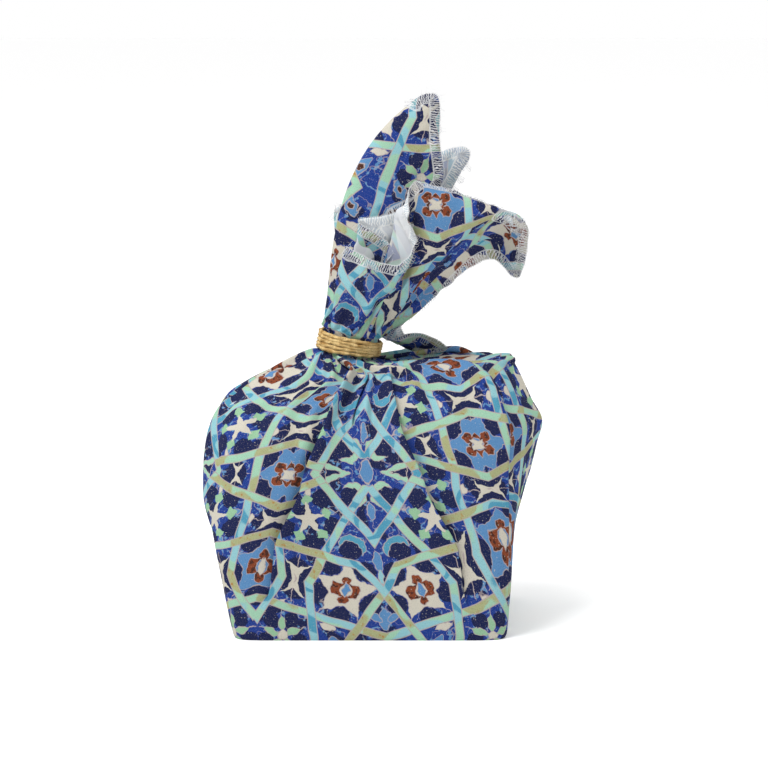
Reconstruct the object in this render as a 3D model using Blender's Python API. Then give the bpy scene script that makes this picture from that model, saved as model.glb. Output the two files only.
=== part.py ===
"""A small parcel wrapped in one square cloth, its four corners gathered up and tied with twine.

The cloth is one solid: a filled wrapped body with overlapping folds, a gathered neck, and above the
tie the thin flared ends. Metres, +Z up, the flat base on Z = 0, the front towards -Y.
"""

import math
from collections import namedtuple

import bmesh
import bpy
from mathutils import Matrix, Vector

for thing in list(bpy.data.objects):
    bpy.data.objects.remove(thing, do_unlink=True)

MM = 0.001
SHARP_ANGLE = math.radians(60)

# Tie: centre of the band of twine, its lean to the right, and the neck that it holds
TIE_CENTRE = Vector((-13.0, 0.0, 142.8))
TIE_LEAN = math.radians(12)
NECK_HALF_WIDTH = 14.2
NECK_HALF_DEPTH = 12.6
TIE_GAP = 0.45
TWINE_WIDTH = 2.0
TURNS = 5
RIDGE_SHARE = 0.94
RIDGE_STEPS = 4
BAND_LOW_SIDE = 0.72
BAND_STEPS = 44

# Cloth: the thickness of its flared ends, and the step that a fold's edge takes
SHEET = 1.3
SHEET_AT_NECK = 0.1
FOLD_REACH = 24.0
FOLD_STEP = 1.2
FOLD_RISE = 25.0
FOLD_MARGIN = 3.2
FOLD_MARGIN_SHARE = 0.16
EDGE_SHARE = 0.1
LIP_OVERHANG = 0.55
LIP_SHARE = 0.16
TUCK = 0.9
TUCK_SHARE = 0.18
UNDER_SHARE = 0.3
UNDER_DIP = -0.15

# Ear of loose cloth on the right: its turn and how far it spreads to the front and the back
EAR_TURN = -2.0
EAR_FRONT = 32.0
EAR_BACK = 22.0

# Columns of cloth to each small gather, rings in the flared ends, and the base's inner ring
FLUTE_COLUMNS = 4
TAIL_ROWS = 9
BASE_SHARE = 0.55

# The wrapped body, a row for each level: reach to the left, right, front and back, how square the
# outline is, how far the ear of loose cloth stands out on the right, the lean of the level, the share
# of the folds' depth that shows there, and the depth of the small gathers
Level = namedtuple("Level", "height left right front back square ear lean folds flutes")
LEVELS = (
    Level(0.0, -70.4, 65.4, -52.4, 52.4, 14.0, 0.0, 0, 0.0, 0.0),
    Level(1.5, -71.6, 66.6, -53.6, 53.6, 14.0, 0.0, 0, 0.0, 0.0),
    Level(14.0, -74.6, 67.8, -54.0, 54.2, 12.0, 0.0, 0, 0.15, 0.0),
    Level(30.0, -77.8, 69.0, -54.8, 55.2, 10.0, 0.0, 0, 0.4, 0.0),
    Level(47.0, -81.2, 69.6, -55.4, 56.0, 8.0, 1.5, 0, 0.65, 0.0),
    Level(64.0, -82.4, 69.6, -55.8, 56.2, 6.4, 6.0, 0, 0.85, 0.0),
    Level(80.0, -82.4, 69.4, -55.6, 55.8, 5.4, 10.3, 0, 0.95, 0.0),
    Level(93.0, -81.4, 68.6, -54.6, 54.6, 4.8, 14.2, 0, 1.0, 0.0),
    Level(104.0, -79.0, 67.2, -52.4, 52.0, 4.3, 18.2, 0, 1.0, 0.2),
    Level(113.0, -75.0, 64.6, -48.8, 48.6, 3.8, 15.2, -1, 1.0, 0.4),
    Level(120.5, -68.4, 61.0, -43.4, 43.8, 3.4, 13.6, -3, 1.0, 0.6),
    Level(127.0, -59.6, 56.0, -36.4, 37.0, 3.0, 14.4, -4, 0.95, 0.9),
    Level(131.5, -49.4, 47.0, -28.4, 29.6, 2.6, 20.5, -4, 0.85, 1.1),
    Level(134.0, -38.6, 24.0, -21.4, 22.4, 2.3, 8.0, 1, 0.6, 1.2),
    Level(135.6, -31.0, 5.6, -16.2, 16.4, 2.1, 0.0, 9, 0.4, 0.8),
)

# The gathered neck, a row for each ring: the edge of the band that it stands at (-1 the lower, 1 the
# upper), the distance past that edge, how much wider than the band's bore, and the gathers' depth
Neck = namedtuple("Neck", "edge past wider flutes")
NECK = (
    Neck(-1, 0.3, 0.0, 0.1),
    Neck(0, 0.0, 0.0, 0.1),
    Neck(1, 0.2, 0.0, 0.1),
    Neck(1, 1.8, 1.4, 0.7),
)

# Overlapping folds, a row for each, in order round the body: the turn that each stands at on the way
# up, its depth, the side its edge faces (1 anticlockwise seen from above), the height where it
# starts, and the number of columns of cloth up to the next fold
Fold = namedtuple("Fold", "name base waist chest shoulder crown neck depth side start columns")
FOLD_HEIGHTS = (0.0, 47.0, 80.0, 112.0, 129.0, 138.0)
FOLDS = (
    Fold("earBack", 27, 26, 25, 24, 26, 24, 2.6, -1, 30, 9),
    Fold("backRight", 58, 60, 66, 68, 62, 50, 3.0, 1, 10, 9),
    Fold("backMiddle", 92, 95, 97, 94, 88, 82, 3.0, -1, 40, 9),
    Fold("backLeft", 132, 128, 122, 116, 114, 118, 3.2, -1, 8, 10),
    Fold("leftBack", 165, 166, 166, 163, 160, 158, 3.0, -1, 20, 7),
    Fold("leftMiddle", 184, 185, 186, 184, 183, 188, 3.2, -1, 30, 6),
    Fold("leftFront", 205, 204, 203, 198.5, 201, 212, 3.4, -1, 45, 10),
    Fold("frontLeft", 222, 232, 243, 250.5, 251.5, 246, 3.4, -1, 12, 6),
    Fold("frontSmall", 258, 262, 265, 264, 264, 270, 1.8, 1, 100, 7),
    Fold("frontRight", 315, 310, 298.5, 288, 284, 296, 3.2, 1, 12, 10),
    Fold("cornerRight", 327, 326, 328, 333, 338, 330, 2.4, 1, 20, 8),
    Fold("earEdge", 358, 358, 358, 358, 359, 356, 0.5, 1, 60, 9),
)

# Flared ends above the tie, a row for each fold of the cloth in order round the neck: its turn there,
# the point halfway up it and the point of the hem, both in millimetres
Rib = namedtuple("Rib", "name turn midX midY midZ hemX hemY hemZ")
RIBS = (
    Rib("under", 5, 44.0, 3.0, 185.5, 57.0, 8.0, 185.0),
    Rib("rightLow", 14, 23.0, 4.0, 158.0, 31.0, 8.0, 164.0),
    Rib("sideHem", 24, 10.0, 9.0, 149.0, 14.0, 13.0, 150.0),
    Rib("backDroop", 34, 18.0, 15.0, 145.5, 34.0, 18.0, 142.0),
    Rib("notch", 40, 11.0, 15.0, 152.0, 16.0, 19.0, 158.0),
    Rib("sideLow", 45, 15.0, 18.0, 168.0, 30.0, 24.0, 204.0),
    Rib("backCorner", 56, 20.0, 19.0, 194.0, 48.5, 24.0, 237.0),
    Rib("backLow", 69, 7.0, 20.0, 190.0, 30.0, 28.0, 236.0),
    Rib("leftFray", 84, -18.5, 14.0, 181.5, -20.5, 22.0, 208.5),
    Rib("frayReturn", 102, -7.5, 10.5, 185.5, 5.0, 17.0, 212.0),
    Rib("tallBackLow", 117, 0.0, 9.5, 188.0, 28.5, 13.0, 220.0),
    Rib("tallBack", 130, -6.5, 9.0, 207.5, 29.5, 10.5, 248.0),
    Rib("tallLeft", 143, -13.5, 5.5, 220.5, 20.0, 8.0, 265.0),
    Rib("tallRight", 155, -8.0, 1.5, 218.0, 31.5, 5.0, 268.0),
    Rib("tallFront", 166, -3.5, -1.0, 207.0, 32.5, 3.0, 246.0),
    Rib("tallFrontLow", 177, 5.0, -4.0, 192.5, 33.0, 1.0, 222.0),
    Rib("farWall", 189, 1.5, -8.0, 188.0, 9.0, -6.0, 209.5),
    Rib("farLeft", 201, -15.0, -8.5, 178.0, -8.5, -9.0, 206.5),
    Rib("cupLeft", 213, -22.0, -10.0, 170.5, -15.0, -13.0, 196.0),
    Rib("cupFrontLeft", 229, -16.0, -16.0, 166.5, -7.0, -21.0, 190.0),
    Rib("cupFront", 245, -4.5, -16.5, 166.0, 3.0, -26.0, 186.0),
    Rib("cupFrontRight", 260, 2.0, -18.5, 167.5, 12.5, -27.0, 185.5),
    Rib("cuffLow", 274, 9.0, -20.5, 181.0, 21.0, -29.0, 197.5),
    Rib("cuffMiddle", 287, 9.0, -19.0, 204.5, 16.5, -29.0, 208.0),
    Rib("cuffTop", 299, 14.5, -17.0, 202.0, 19.0, -19.0, 226.0),
    Rib("ridgeLeft", 311, 24.5, -19.0, 197.5, 33.0, -14.0, 226.0),
    Rib("ridgeMiddle", 323, 32.5, -19.0, 197.5, 48.5, -12.0, 221.5),
    Rib("ridgeRight", 335, 41.5, -17.0, 200.0, 65.5, -12.0, 214.0),
    Rib("ridgeEnd", 346, 50.5, -11.0, 202.5, 76.0, -11.0, 202.0),
    Rib("droopTip", 357, 55.5, -4.0, 201.0, 72.5, -4.0, 177.0),
)


def cubic(before, start, end, after, share):
    """The Catmull-Rom value a share of the way from start to end."""
    slope = end - before
    curve = 2 * before - 5 * start + 4 * end - after
    twist = 3 * start - before - 3 * end + after
    return start + 0.5 * share * (slope + share * (curve + share * twist))


def between(knots, values, x):
    """A straight-line reading of values at x, with softened corners at the knots."""
    if x <= knots[0]:
        return values[0]
    for (low, high), (first, second) in zip(zip(knots, knots[1:]), zip(values, values[1:])):
        if x <= high:
            share = (x - low) / (high - low)
            eased = share * share * (3 - 2 * share)
            return first + (second - first) * (0.5 * share + 0.5 * eased)
    return values[-1]


def level_at(place):
    """The body's level at a place along LEVELS, 0 at the base and len(LEVELS) - 1 at the neck."""
    last = len(LEVELS) - 1
    index = min(int(place), last - 1)
    rows = [LEVELS[max(0, min(last, index + step))] for step in (-1, 0, 1, 2)]
    return Level(*(cubic(*values, place - index) for values in zip(*rows)))


def ear_share(turn):
    """How much of the ear stands out at this turn: all at its edge, none past its two roots."""
    away = (math.degrees(turn) - EAR_TURN + 180) % 360 - 180
    width = EAR_BACK if away > 0 else EAR_FRONT
    return max(0.0, 1 - abs(away) / width) ** 1.05


def body_point(turn, level):
    """The plain wrapped body, before folds, at a turn round it and a level."""
    half_width = 0.5 * (level.right - level.left)
    half_depth = 0.5 * (level.back - level.front)
    centre = Vector((0.5 * (level.right + level.left), 0.5 * (level.back + level.front), level.height))
    across = abs(math.cos(turn) / half_width) ** level.square
    along = abs(math.sin(turn) / half_depth) ** level.square
    reach = (across + along) ** (-1 / level.square) + level.ear * ear_share(turn)
    out = Vector((math.cos(turn), math.sin(turn), 0)) * reach
    return centre + out - Vector((0, 0, out.x * math.sin(math.radians(level.lean))))


def body_normal(turn, place):
    """The outward direction of the plain body."""
    step = 0.02
    last = len(LEVELS) - 1
    around = body_point(turn + step, level_at(place)) - body_point(turn - step, level_at(place))
    low, high = max(0.0, place - 0.1), min(last, place + 0.1)
    upward = body_point(turn, level_at(high)) - body_point(turn, level_at(low))
    return around.cross(upward).normalized()


def fold_height(fold, level):
    """How far the edge of a fold stands off the cloth below it at a level."""
    begun = max(0.0, min(1.0, (level.height - fold.start) / FOLD_RISE))
    return fold.depth * level.folds * begun * begun * (3 - 2 * begun)


def columns_at(level):
    """Every column of cloth round one level, as (turn, height off the plain body)."""
    reach = 0.25 * (level.right - level.left + level.back - level.front)
    turns = [math.radians(between(FOLD_HEIGHTS, fold[1:7], level.height)) for fold in FOLDS]
    heights = [fold_height(fold, level) for fold in FOLDS]
    columns = []
    for index, fold in enumerate(FOLDS):
        after = (index + 1) % len(FOLDS)
        turn, tall = turns[index], heights[index]
        span = (turns[after] - turn) % math.tau
        last_span = (turn - turns[index - 1]) % math.tau
        room = min(span, last_span)
        step = min(EDGE_SHARE * room, FOLD_STEP / reach)
        lip = step - min(LIP_SHARE * room, LIP_OVERHANG * tall / reach)
        tuck = step - min(TUCK_SHARE * room, TUCK * tall / reach)
        if fold.side > 0:
            columns += [(turn - lip, tall), (turn + tuck, UNDER_SHARE * tall)]
        else:
            columns += [(turn - tuck, UNDER_SHARE * tall), (turn + lip, tall)]
        margin = min(FOLD_MARGIN_SHARE * span, FOLD_MARGIN / reach)
        widest = min(FOLD_REACH, 0.9 * span * reach)
        for column in range(fold.columns):
            share = column / (fold.columns - 1)
            place = margin + share * (span - 2 * margin)
            rise = 0.0
            for away, edge, side in ((place, index, -1), (span - place, after, 1)):
                fade = max(0.0, 1 - away * reach / widest) ** 2
                over = FOLDS[edge].side == side
                rise += heights[edge] * fade * (1.0 if over else UNDER_DIP)
            columns.append((turn + place, rise))
    return columns


def body_ring(place):
    """One ring of points round the wrapped body, with its folds and gathers."""
    level = level_at(place)
    ring = []
    for index, (turn, rise) in enumerate(columns_at(level)):
        wave = math.cos(math.tau * index / FLUTE_COLUMNS)
        normal = body_normal(turn, place)
        if place <= 1:
            normal.z = 0
        ring.append(body_point(turn, level) + normal * (rise + level.flutes * wave))
    return ring


def neck_ring(row):
    """A ring of the gathered neck, square to the tie's lean."""
    axis = Matrix.Rotation(TIE_LEAN, 3, "Y")
    rise = row.edge * (0.5 * TURNS * TWINE_WIDTH + row.past)
    ring = []
    for index, (turn, _) in enumerate(columns_at(LEVELS[-1])):
        out = row.wider + row.flutes * math.cos(math.tau * index / FLUTE_COLUMNS)
        across = Vector((
            (NECK_HALF_WIDTH + out) * math.cos(turn), (NECK_HALF_DEPTH + out) * math.sin(turn), rise,
        ))
        ring.append(TIE_CENTRE + axis @ across)
    return ring


def rib_at(turn):
    """The halfway point and hem point of the flared cloth at a turn of the neck, in degrees."""
    turns = [rib.turn for rib in RIBS]
    turn = (turn - turns[0]) % 360 + turns[0]
    index = max(i for i, start in enumerate(turns) if start <= turn)
    following = turns[index + 1] if index + 1 < len(RIBS) else turns[0] + 360
    share = (turn - turns[index]) / (following - turns[index])
    rows = [RIBS[(index + step) % len(RIBS)][2:] for step in (-1, 0, 1, 2)]
    values = [cubic(*column, share) for column in zip(*rows)]
    return Vector(values[:3]), Vector(values[3:])


def tail_rings(neck):
    """The rings of the flared cloth from just above the tie to the hem."""
    turns = [math.degrees(turn) for turn, _ in columns_at(LEVELS[-1])]
    ribs = [rib_at(turn) for turn in turns]
    rings = []
    for row in range(1, TAIL_ROWS + 1):
        share = row / TAIL_ROWS
        ring = []
        for foot, (middle, hem) in zip(neck, ribs):
            ring.append(
                foot * ((1 - share) * (1 - 2 * share))
                + middle * (4 * share * (1 - share))
                + hem * (share * (2 * share - 1))
            )
        rings.append(ring)
    return rings


def inner_rings(neck, outer):
    """The reverse of the flared cloth: outer's rings moved in by the cloth's thickness."""
    count = len(outer[0])
    rings = []
    for row in range(len(outer)):
        above = outer[min(row + 1, len(outer) - 1)]
        below = outer[row - 1] if row else neck
        thick = SHEET * min(1.0, (row / len(outer)) ** 1.2 + SHEET_AT_NECK)
        ring = []
        for index in range(count):
            around = outer[row][(index + 1) % count] - outer[row][index - 1]
            upward = above[index] - below[index]
            ring.append(outer[row][index] - around.cross(upward).normalized() * thick)
        rings.append(ring)
    return rings


def new_material(name, colour, roughness):
    material = bpy.data.materials.new(name)
    material.use_nodes = True
    shader = material.node_tree.nodes["Principled BSDF"]
    shader.inputs["Base Color"].default_value = (*colour, 1)
    shader.inputs["Roughness"].default_value = roughness
    shader.inputs["Metallic"].default_value = 0.0
    return material


def new_object(name, mesh, material, collection):
    mesh.materials.append(material)
    mesh.shade_smooth()
    mesh.set_sharp_from_angle(angle=SHARP_ANGLE)
    thing = bpy.data.objects.new(name, mesh)
    collection.objects.link(thing)
    return thing


def loft(name, rings, foot, top):
    """A closed mesh through rings of equal length, with a pole at each end."""
    form = bmesh.new()
    rows = [[form.verts.new(point * MM) for point in ring] for ring in rings]
    for low, high in zip(rows, rows[1:]):
        for index in range(len(low)):
            form.faces.new((low[index - 1], low[index], high[index], high[index - 1]))
    for pole, ring, turned in ((foot, rows[0], True), (top, rows[-1], False)):
        tip = form.verts.new(pole * MM)
        for index in range(len(ring)):
            pair = (ring[index], ring[index - 1]) if turned else (ring[index - 1], ring[index])
            form.faces.new((*pair, tip))
    bmesh.ops.triangulate(form, faces=form.faces[:])
    mesh = bpy.data.meshes.new(name)
    form.to_mesh(mesh)
    form.free()
    return mesh


def cloth_mesh():
    """The whole cloth: base, wrapped body, neck, flared ends, hem and their reverse."""
    base = [Vector((BASE_SHARE * point.x, BASE_SHARE * point.y, 0)) for point in body_ring(0)]
    body = [body_ring(place) for place in range(len(LEVELS))]
    neck = [neck_ring(row) for row in NECK]
    tail = tail_rings(neck[-1])
    inside = inner_rings(neck[-1], tail)
    pole = sum(neck[-1], Vector()) / len(neck[-1])
    rings = [base, *body, *neck, *tail, *reversed(inside)]
    return loft("cloth", rings, Vector((0, 0, 0)), pole)


def twine_mesh():
    """The band of wound twine: a ridged profile turned round the neck and leant with the tie."""
    ridge = 0.5 * TWINE_WIDTH
    outline = []
    for turn in range(TURNS):
        centre = (turn + 0.5 - 0.5 * TURNS) * TWINE_WIDTH
        for step in range(RIDGE_STEPS):
            angle = math.pi * (step + 0.5) / RIDGE_STEPS
            out = TIE_GAP + ridge * (1 + math.sin(angle))
            outline.append((out, centre - RIDGE_SHARE * ridge * math.cos(angle)))
    low, high = outline[0][1], outline[-1][1]
    outline = [(TIE_GAP, low), *outline, (TIE_GAP, high)]
    form = bmesh.new()
    profile = [form.verts.new((x, 0, z)) for x, z in outline]
    edges = [form.edges.new(pair) for pair in zip(profile, profile[1:] + profile[:1])]
    bmesh.ops.spin(
        form, geom=profile + edges, cent=(-1, 0, 0), axis=(0, 0, 1), angle=math.tau,
        steps=BAND_STEPS, use_merge=True,
    )
    axis = Matrix.Rotation(TIE_LEAN, 3, "Y")
    for vert in form.verts:
        place = Vector((vert.co.x + 1, vert.co.y, 0))
        turn = math.atan2(place.y, place.x)
        out = place.length - 1
        squeeze = 1 - (1 - BAND_LOW_SIDE) * 0.5 * (1 + math.cos(turn))
        across = Vector((
            (NECK_HALF_WIDTH + out) * math.cos(turn),
            (NECK_HALF_DEPTH + out) * math.sin(turn),
            vert.co.z * squeeze,
        ))
        vert.co = (TIE_CENTRE + axis @ across) * MM
    bmesh.ops.recalc_face_normals(form, faces=form.faces[:])
    bmesh.ops.triangulate(form, faces=form.faces[:])
    mesh = bpy.data.meshes.new("twine")
    form.to_mesh(mesh)
    form.free()
    return mesh


parcel = bpy.data.collections.new("furoshiki_wrap")
bpy.context.scene.collection.children.link(parcel)

print_cotton = new_material("printed_cotton", (0.06, 0.09, 0.36), 0.85)
jute = new_material("jute_twine", (0.57, 0.38, 0.16), 0.9)

new_object("cloth", cloth_mesh(), print_cotton, parcel)
new_object("twine", twine_mesh(), jute, parcel)
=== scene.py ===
import math

import bmesh
import bpy
import numpy as np
from mathutils import Matrix, Vector


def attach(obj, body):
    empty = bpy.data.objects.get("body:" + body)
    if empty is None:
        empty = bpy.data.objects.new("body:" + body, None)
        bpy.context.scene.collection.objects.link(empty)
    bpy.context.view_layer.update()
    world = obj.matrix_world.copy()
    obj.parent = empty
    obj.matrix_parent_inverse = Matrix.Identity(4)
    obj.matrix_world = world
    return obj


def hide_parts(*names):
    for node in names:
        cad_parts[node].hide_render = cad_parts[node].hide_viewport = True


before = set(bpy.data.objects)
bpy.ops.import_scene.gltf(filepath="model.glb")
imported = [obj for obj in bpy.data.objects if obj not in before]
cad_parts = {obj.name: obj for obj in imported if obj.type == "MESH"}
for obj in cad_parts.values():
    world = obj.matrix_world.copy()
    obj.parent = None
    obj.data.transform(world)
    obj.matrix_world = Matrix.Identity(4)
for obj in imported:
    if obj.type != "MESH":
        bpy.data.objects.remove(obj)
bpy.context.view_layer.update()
mm = 0.001

# Sizes that the cloth and the twine share: the band, its lean and the neck it holds, in millimetres
tieSettings = {
    "centre": (-13.0, 0.0, 142.8),
    "leanDegrees": 12.0,
    "halfWidth": 14.2,
    "halfDepth": 12.6,
    "turns": 5,
    "twineWidth": 2.0,
    "narrowSide": 0.72,       # height of the band on its right, against its left
}

clothSettings = {
    "flatSize": (0.50, 0.50),
    "thickness": 0.4,
    "layerGap": 0.8,          # between the layers of a pleat
    "foldReach": 24.0,
    "dipReach": 9.0,
    "foldStep": 1.2,
    "foldRise": 25.0,
    "lipOverhang": 0.55,
    "tuck": 0.9,
    "edgeMargin": 3.2,        # between a fold's edge and the panels beside it
    "edgeShare": 0.16,        # the most of a panel that the margin takes
    "pleatShare": 0.86,       # the most of the panel above that a fold runs back under
    "innerShare": 0.34,       # how deep the hidden layers lie, of the fold's depth
    "innerGap": 1.2,          # and in millimetres on top
    "underShare": -0.45,
    "underDip": -0.45,
    "earTurn": -2.0,
    "earFront": 32.0,
    "earBack": 22.0,
    "panelColumns": 232,      # shared out over the panels by their width
    "bodyRows": (2, 5, 6, 7, 7, 6, 6, 5, 6, 5, 5, 5, 5, 4),
    "baseRings": (0.02, 0.35, 0.7, 0.93),
    "bandRises": (-5.6, -3.0, 0.0, 3.0, 5.2, 6.0, 6.8),
    "hiddenNeck": 2,          # rings under the twine, below where the two prints meet
    "tailRows": 34,
}

# The wrapped body: reach each way, squareness, ear, lean, share of the folds, depth of the gathers
bodyLevels = np.array([
    # height left   right front  back  square ear lean folds gathers
    (0.0, -70.4, 65.4, -52.4, 52.4, 14.0, 0.0, 0, 0.0, 0.0),
    (1.5, -71.6, 66.6, -53.6, 53.6, 14.0, 0.0, 0, 0.0, 0.0),
    (14.0, -74.6, 67.8, -54.0, 54.2, 12.0, 0.0, 0, 0.15, 0.0),
    (30.0, -77.8, 69.0, -54.8, 55.2, 10.0, 0.0, 0, 0.4, 0.0),
    (47.0, -81.2, 69.6, -55.4, 56.0, 8.0, 1.5, 0, 0.65, 0.0),
    (64.0, -82.4, 69.6, -55.8, 56.2, 6.4, 6.0, 0, 0.85, 0.0),
    (80.0, -82.4, 69.4, -55.6, 55.8, 5.4, 10.3, 0, 0.95, 0.05),
    (93.0, -81.4, 68.6, -54.6, 54.6, 4.8, 14.2, 0, 1.0, 0.2),
    (104.0, -79.0, 67.2, -52.4, 52.0, 4.3, 18.2, 0, 1.0, 0.4),
    (113.0, -75.0, 64.6, -48.8, 48.6, 3.8, 15.2, -1, 1.0, 0.8),
    (120.5, -68.4, 61.0, -43.4, 43.8, 3.4, 13.6, -3, 1.0, 1.3),
    (127.0, -59.6, 56.0, -36.4, 37.0, 3.0, 14.4, -4, 0.95, 1.7),
    (131.5, -49.4, 47.0, -28.4, 29.6, 2.6, 20.5, -4, 0.85, 1.8),
    (134.0, -38.6, 24.0, -21.4, 22.4, 2.3, 8.0, 1, 0.6, 1.5),
    (135.6, -31.0, 5.6, -16.2, 16.4, 2.1, 0.0, 9, 0.4, 0.9),
])

# Overlapping folds round the body: turn at each of foldHeights, depth, the side the edge faces, the
# height where it starts, and how far the cloth runs back under it
foldHeights = np.array([0.0, 47.0, 80.0, 112.0, 129.0, 138.0])
foldTable = [
    # name          base waist chest shoulder crown neck depth side start pleat
    ("earBack", 27, 26, 25, 24, 26, 24, 2.6, -1, 30, 30),
    ("backRight", 58, 60, 66, 68, 62, 50, 3.0, 1, 10, 34),
    ("backMiddle", 92, 95, 97, 94, 88, 82, 3.0, -1, 40, 34),
    ("backLeft", 132, 128, 122, 116, 114, 118, 3.2, -1, 8, 36),
    ("leftBack", 165, 166, 166, 163, 160, 158, 3.0, -1, 20, 30),
    ("leftMiddle", 184, 185, 186, 184, 183, 188, 3.2, -1, 30, 28),
    ("leftFront", 205, 204, 203, 198.5, 201, 212, 5.0, -1, 45, 30),
    ("frontLeft", 222, 232, 243, 250.5, 251.5, 246, 5.0, -1, 12, 34),
    ("frontSmall", 258, 262, 265, 264, 264, 270, 1.8, 1, 100, 8),
    ("frontRight", 315, 310, 298.5, 288, 284, 296, 4.2, 1, 12, 34),
    ("cornerRight", 327, 326, 328, 333, 338, 330, 2.4, 1, 20, 30),
    ("earEdge", 358, 358, 358, 358, 359, 356, 0.5, 1, 60, 14),
]
depthColumn, sideColumn, startColumn, pleatColumn = 7, 8, 9, 10    # places in a row of foldTable

pleatSteps = 13               # columns across one fold, from its edge to its depth and back
deepestStep = 8
hiddenSteps = range(3, 11)    # those that lie inside a fold

# The flared ends: each fold's turn at the neck, its point halfway up and its point on the hem
tailRibs = [
    # name            turn midX   midY   midZ   hemX   hemY   hemZ
    ("under", 5, 44.0, 3.0, 185.5, 57.0, 8.0, 185.0),
    ("rightLow", 14, 21.0, 4.0, 157.5, 30.0, 8.0, 165.0),
    ("sideHem", 22, 4.8, 8.5, 145.0, 8.0, 10.5, 144.0),
    ("droopFront", 27, 13.5, 12.0, 141.5, 22.5, 12.5, 146.0),
    ("droopTip", 32, 18.0, 14.5, 139.5, 37.0, 15.5, 137.8),
    ("droopBack", 36, 13.0, 16.5, 138.6, 23.0, 17.8, 136.6),
    ("notch", 41, 9.5, 15.0, 150.0, 13.0, 18.0, 155.0),
    ("sideLow", 45, 15.0, 18.0, 168.0, 30.0, 24.0, 204.0),
    ("backCorner", 56, 20.0, 19.0, 194.0, 48.5, 24.0, 237.0),
    ("backLow", 69, 7.0, 20.0, 190.0, 30.0, 28.0, 236.0),
    ("leftFray", 84, -18.5, 14.0, 181.5, -20.5, 22.0, 208.5),
    ("frayReturn", 102, -7.5, 10.5, 185.5, 5.0, 17.0, 212.0),
    ("tallBackLow", 117, 0.0, 9.5, 188.0, 28.5, 13.0, 220.0),
    ("tallBack", 130, -6.5, 9.0, 207.5, 29.5, 10.5, 248.0),
    ("tallLeft", 143, -13.5, 5.5, 220.5, 20.0, 8.0, 265.0),
    ("tallRight", 155, -8.0, 1.5, 218.0, 31.5, 5.0, 268.0),
    ("tallFront", 166, -3.5, -1.0, 207.0, 32.5, 3.0, 246.0),
    ("tallFrontLow", 177, 5.0, -4.0, 192.5, 33.0, 1.0, 222.0),
    ("farWall", 189, 1.5, -8.0, 188.0, 9.0, -6.0, 209.5),
    ("farLeft", 199, -14.0, -8.0, 178.0, -8.5, -8.5, 206.5),
    ("stripMiddle", 206, -9.0, -7.0, 176.0, 1.0, -11.5, 199.5),
    ("stripRight", 212, -5.0, -7.0, 173.0, 9.5, -15.0, 191.6),
    ("cupReturn", 218, -12.0, -7.5, 168.0, 0.0, -14.5, 183.5),
    ("cupLeft", 225, -21.0, -11.5, 168.0, -14.5, -15.5, 193.6),
    ("cupFrontLeft", 234, -15.0, -16.0, 166.5, -6.5, -21.0, 190.0),
    ("cupFront", 246, -4.0, -17.0, 166.0, 3.5, -26.0, 186.4),
    ("cupFrontRight", 260, 2.0, -18.5, 167.5, 12.5, -27.0, 185.5),
    ("cuffLow", 274, 12.5, -16.5, 178.0, 21.0, -28.5, 197.5),
    ("cuffMiddle", 287, 10.0, -16.0, 202.0, 16.5, -29.0, 208.0),
    ("cuffTop", 299, 14.5, -17.0, 202.0, 19.0, -19.0, 226.0),
    ("ridgeLeft", 311, 24.5, -19.0, 197.5, 33.0, -14.0, 226.0),
    ("ridgeMiddle", 323, 32.5, -19.0, 197.5, 48.5, -12.0, 221.5),
    ("ridgeRight", 335, 41.5, -17.0, 200.0, 65.5, -12.0, 214.0),
    ("ridgeEnd", 346, 50.5, -11.0, 202.5, 76.0, -11.0, 202.0),
    ("leafTip", 357, 55.5, -4.0, 201.0, 72.5, -4.0, 177.0),
]


def cubic(before, start, end, after, share):
    slope = end - before
    curve = 2 * before - 5 * start + 4 * end - after
    twist = 3 * start - before - 3 * end + after
    return start + 0.5 * share * (slope + share * (curve + share * twist))


def smooth(value):
    value = np.clip(value, 0.0, 1.0)
    return value * value * (3 - 2 * value)


def levelsAt(places):
    last = len(bodyLevels) - 1
    index = np.minimum(places.astype(int), last - 1)
    rows = [bodyLevels[np.clip(index + step, 0, last)] for step in (-1, 0, 1, 2)]
    return cubic(*rows, (places - index)[:, None])


def foldTurns(height):
    values = np.array([row[1:7] for row in foldTable], float)
    at = np.clip(height, foldHeights[0], foldHeights[-1])
    index = min(int(np.searchsorted(foldHeights, at, side="right")) - 1, len(foldHeights) - 2)
    share = (at - foldHeights[index]) / (foldHeights[index + 1] - foldHeights[index])
    eased = 0.5 * share + 0.5 * share * share * (3 - 2 * share)
    return np.radians(values[:, index] + (values[:, index + 1] - values[:, index]) * eased)


def earShare(turns):
    away = (np.degrees(turns) - clothSettings["earTurn"] + 180) % 360 - 180
    width = np.where(away > 0, clothSettings["earBack"], clothSettings["earFront"])
    return np.maximum(0.0, 1 - np.abs(away) / width) ** 1.05


def bodyPoints(turns, level):
    height, left, right, front, back, square, ear, lean = level[:8]
    halfWidth, halfDepth = 0.5 * (right - left), 0.5 * (back - front)
    across = np.abs(np.cos(turns) / halfWidth) ** square
    along = np.abs(np.sin(turns) / halfDepth) ** square
    reach = (across + along) ** (-1 / square) + ear * earShare(turns)
    outX, outY = np.cos(turns) * reach, np.sin(turns) * reach
    drop = outX * math.sin(math.radians(lean))
    return np.stack([0.5 * (right + left) + outX, 0.5 * (back + front) + outY, height - drop], -1)


def unit(vectors):
    return vectors / np.maximum(np.linalg.norm(vectors, axis=-1, keepdims=True), 1e-9)


def bodyNormals(turns, place):
    last = len(bodyLevels) - 1
    here, low, high = levelsAt(np.array([place, max(0, place - 0.1), min(last, place + 0.1)]))
    around = bodyPoints(turns + 0.02, here) - bodyPoints(turns - 0.02, here)
    upward = bodyPoints(turns, high) - bodyPoints(turns, low)
    return unit(np.cross(around, upward))


def reachOf(level):    # mean distance from the body's axis
    return 0.25 * (level[2] - level[1] + level[4] - level[3])


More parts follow.
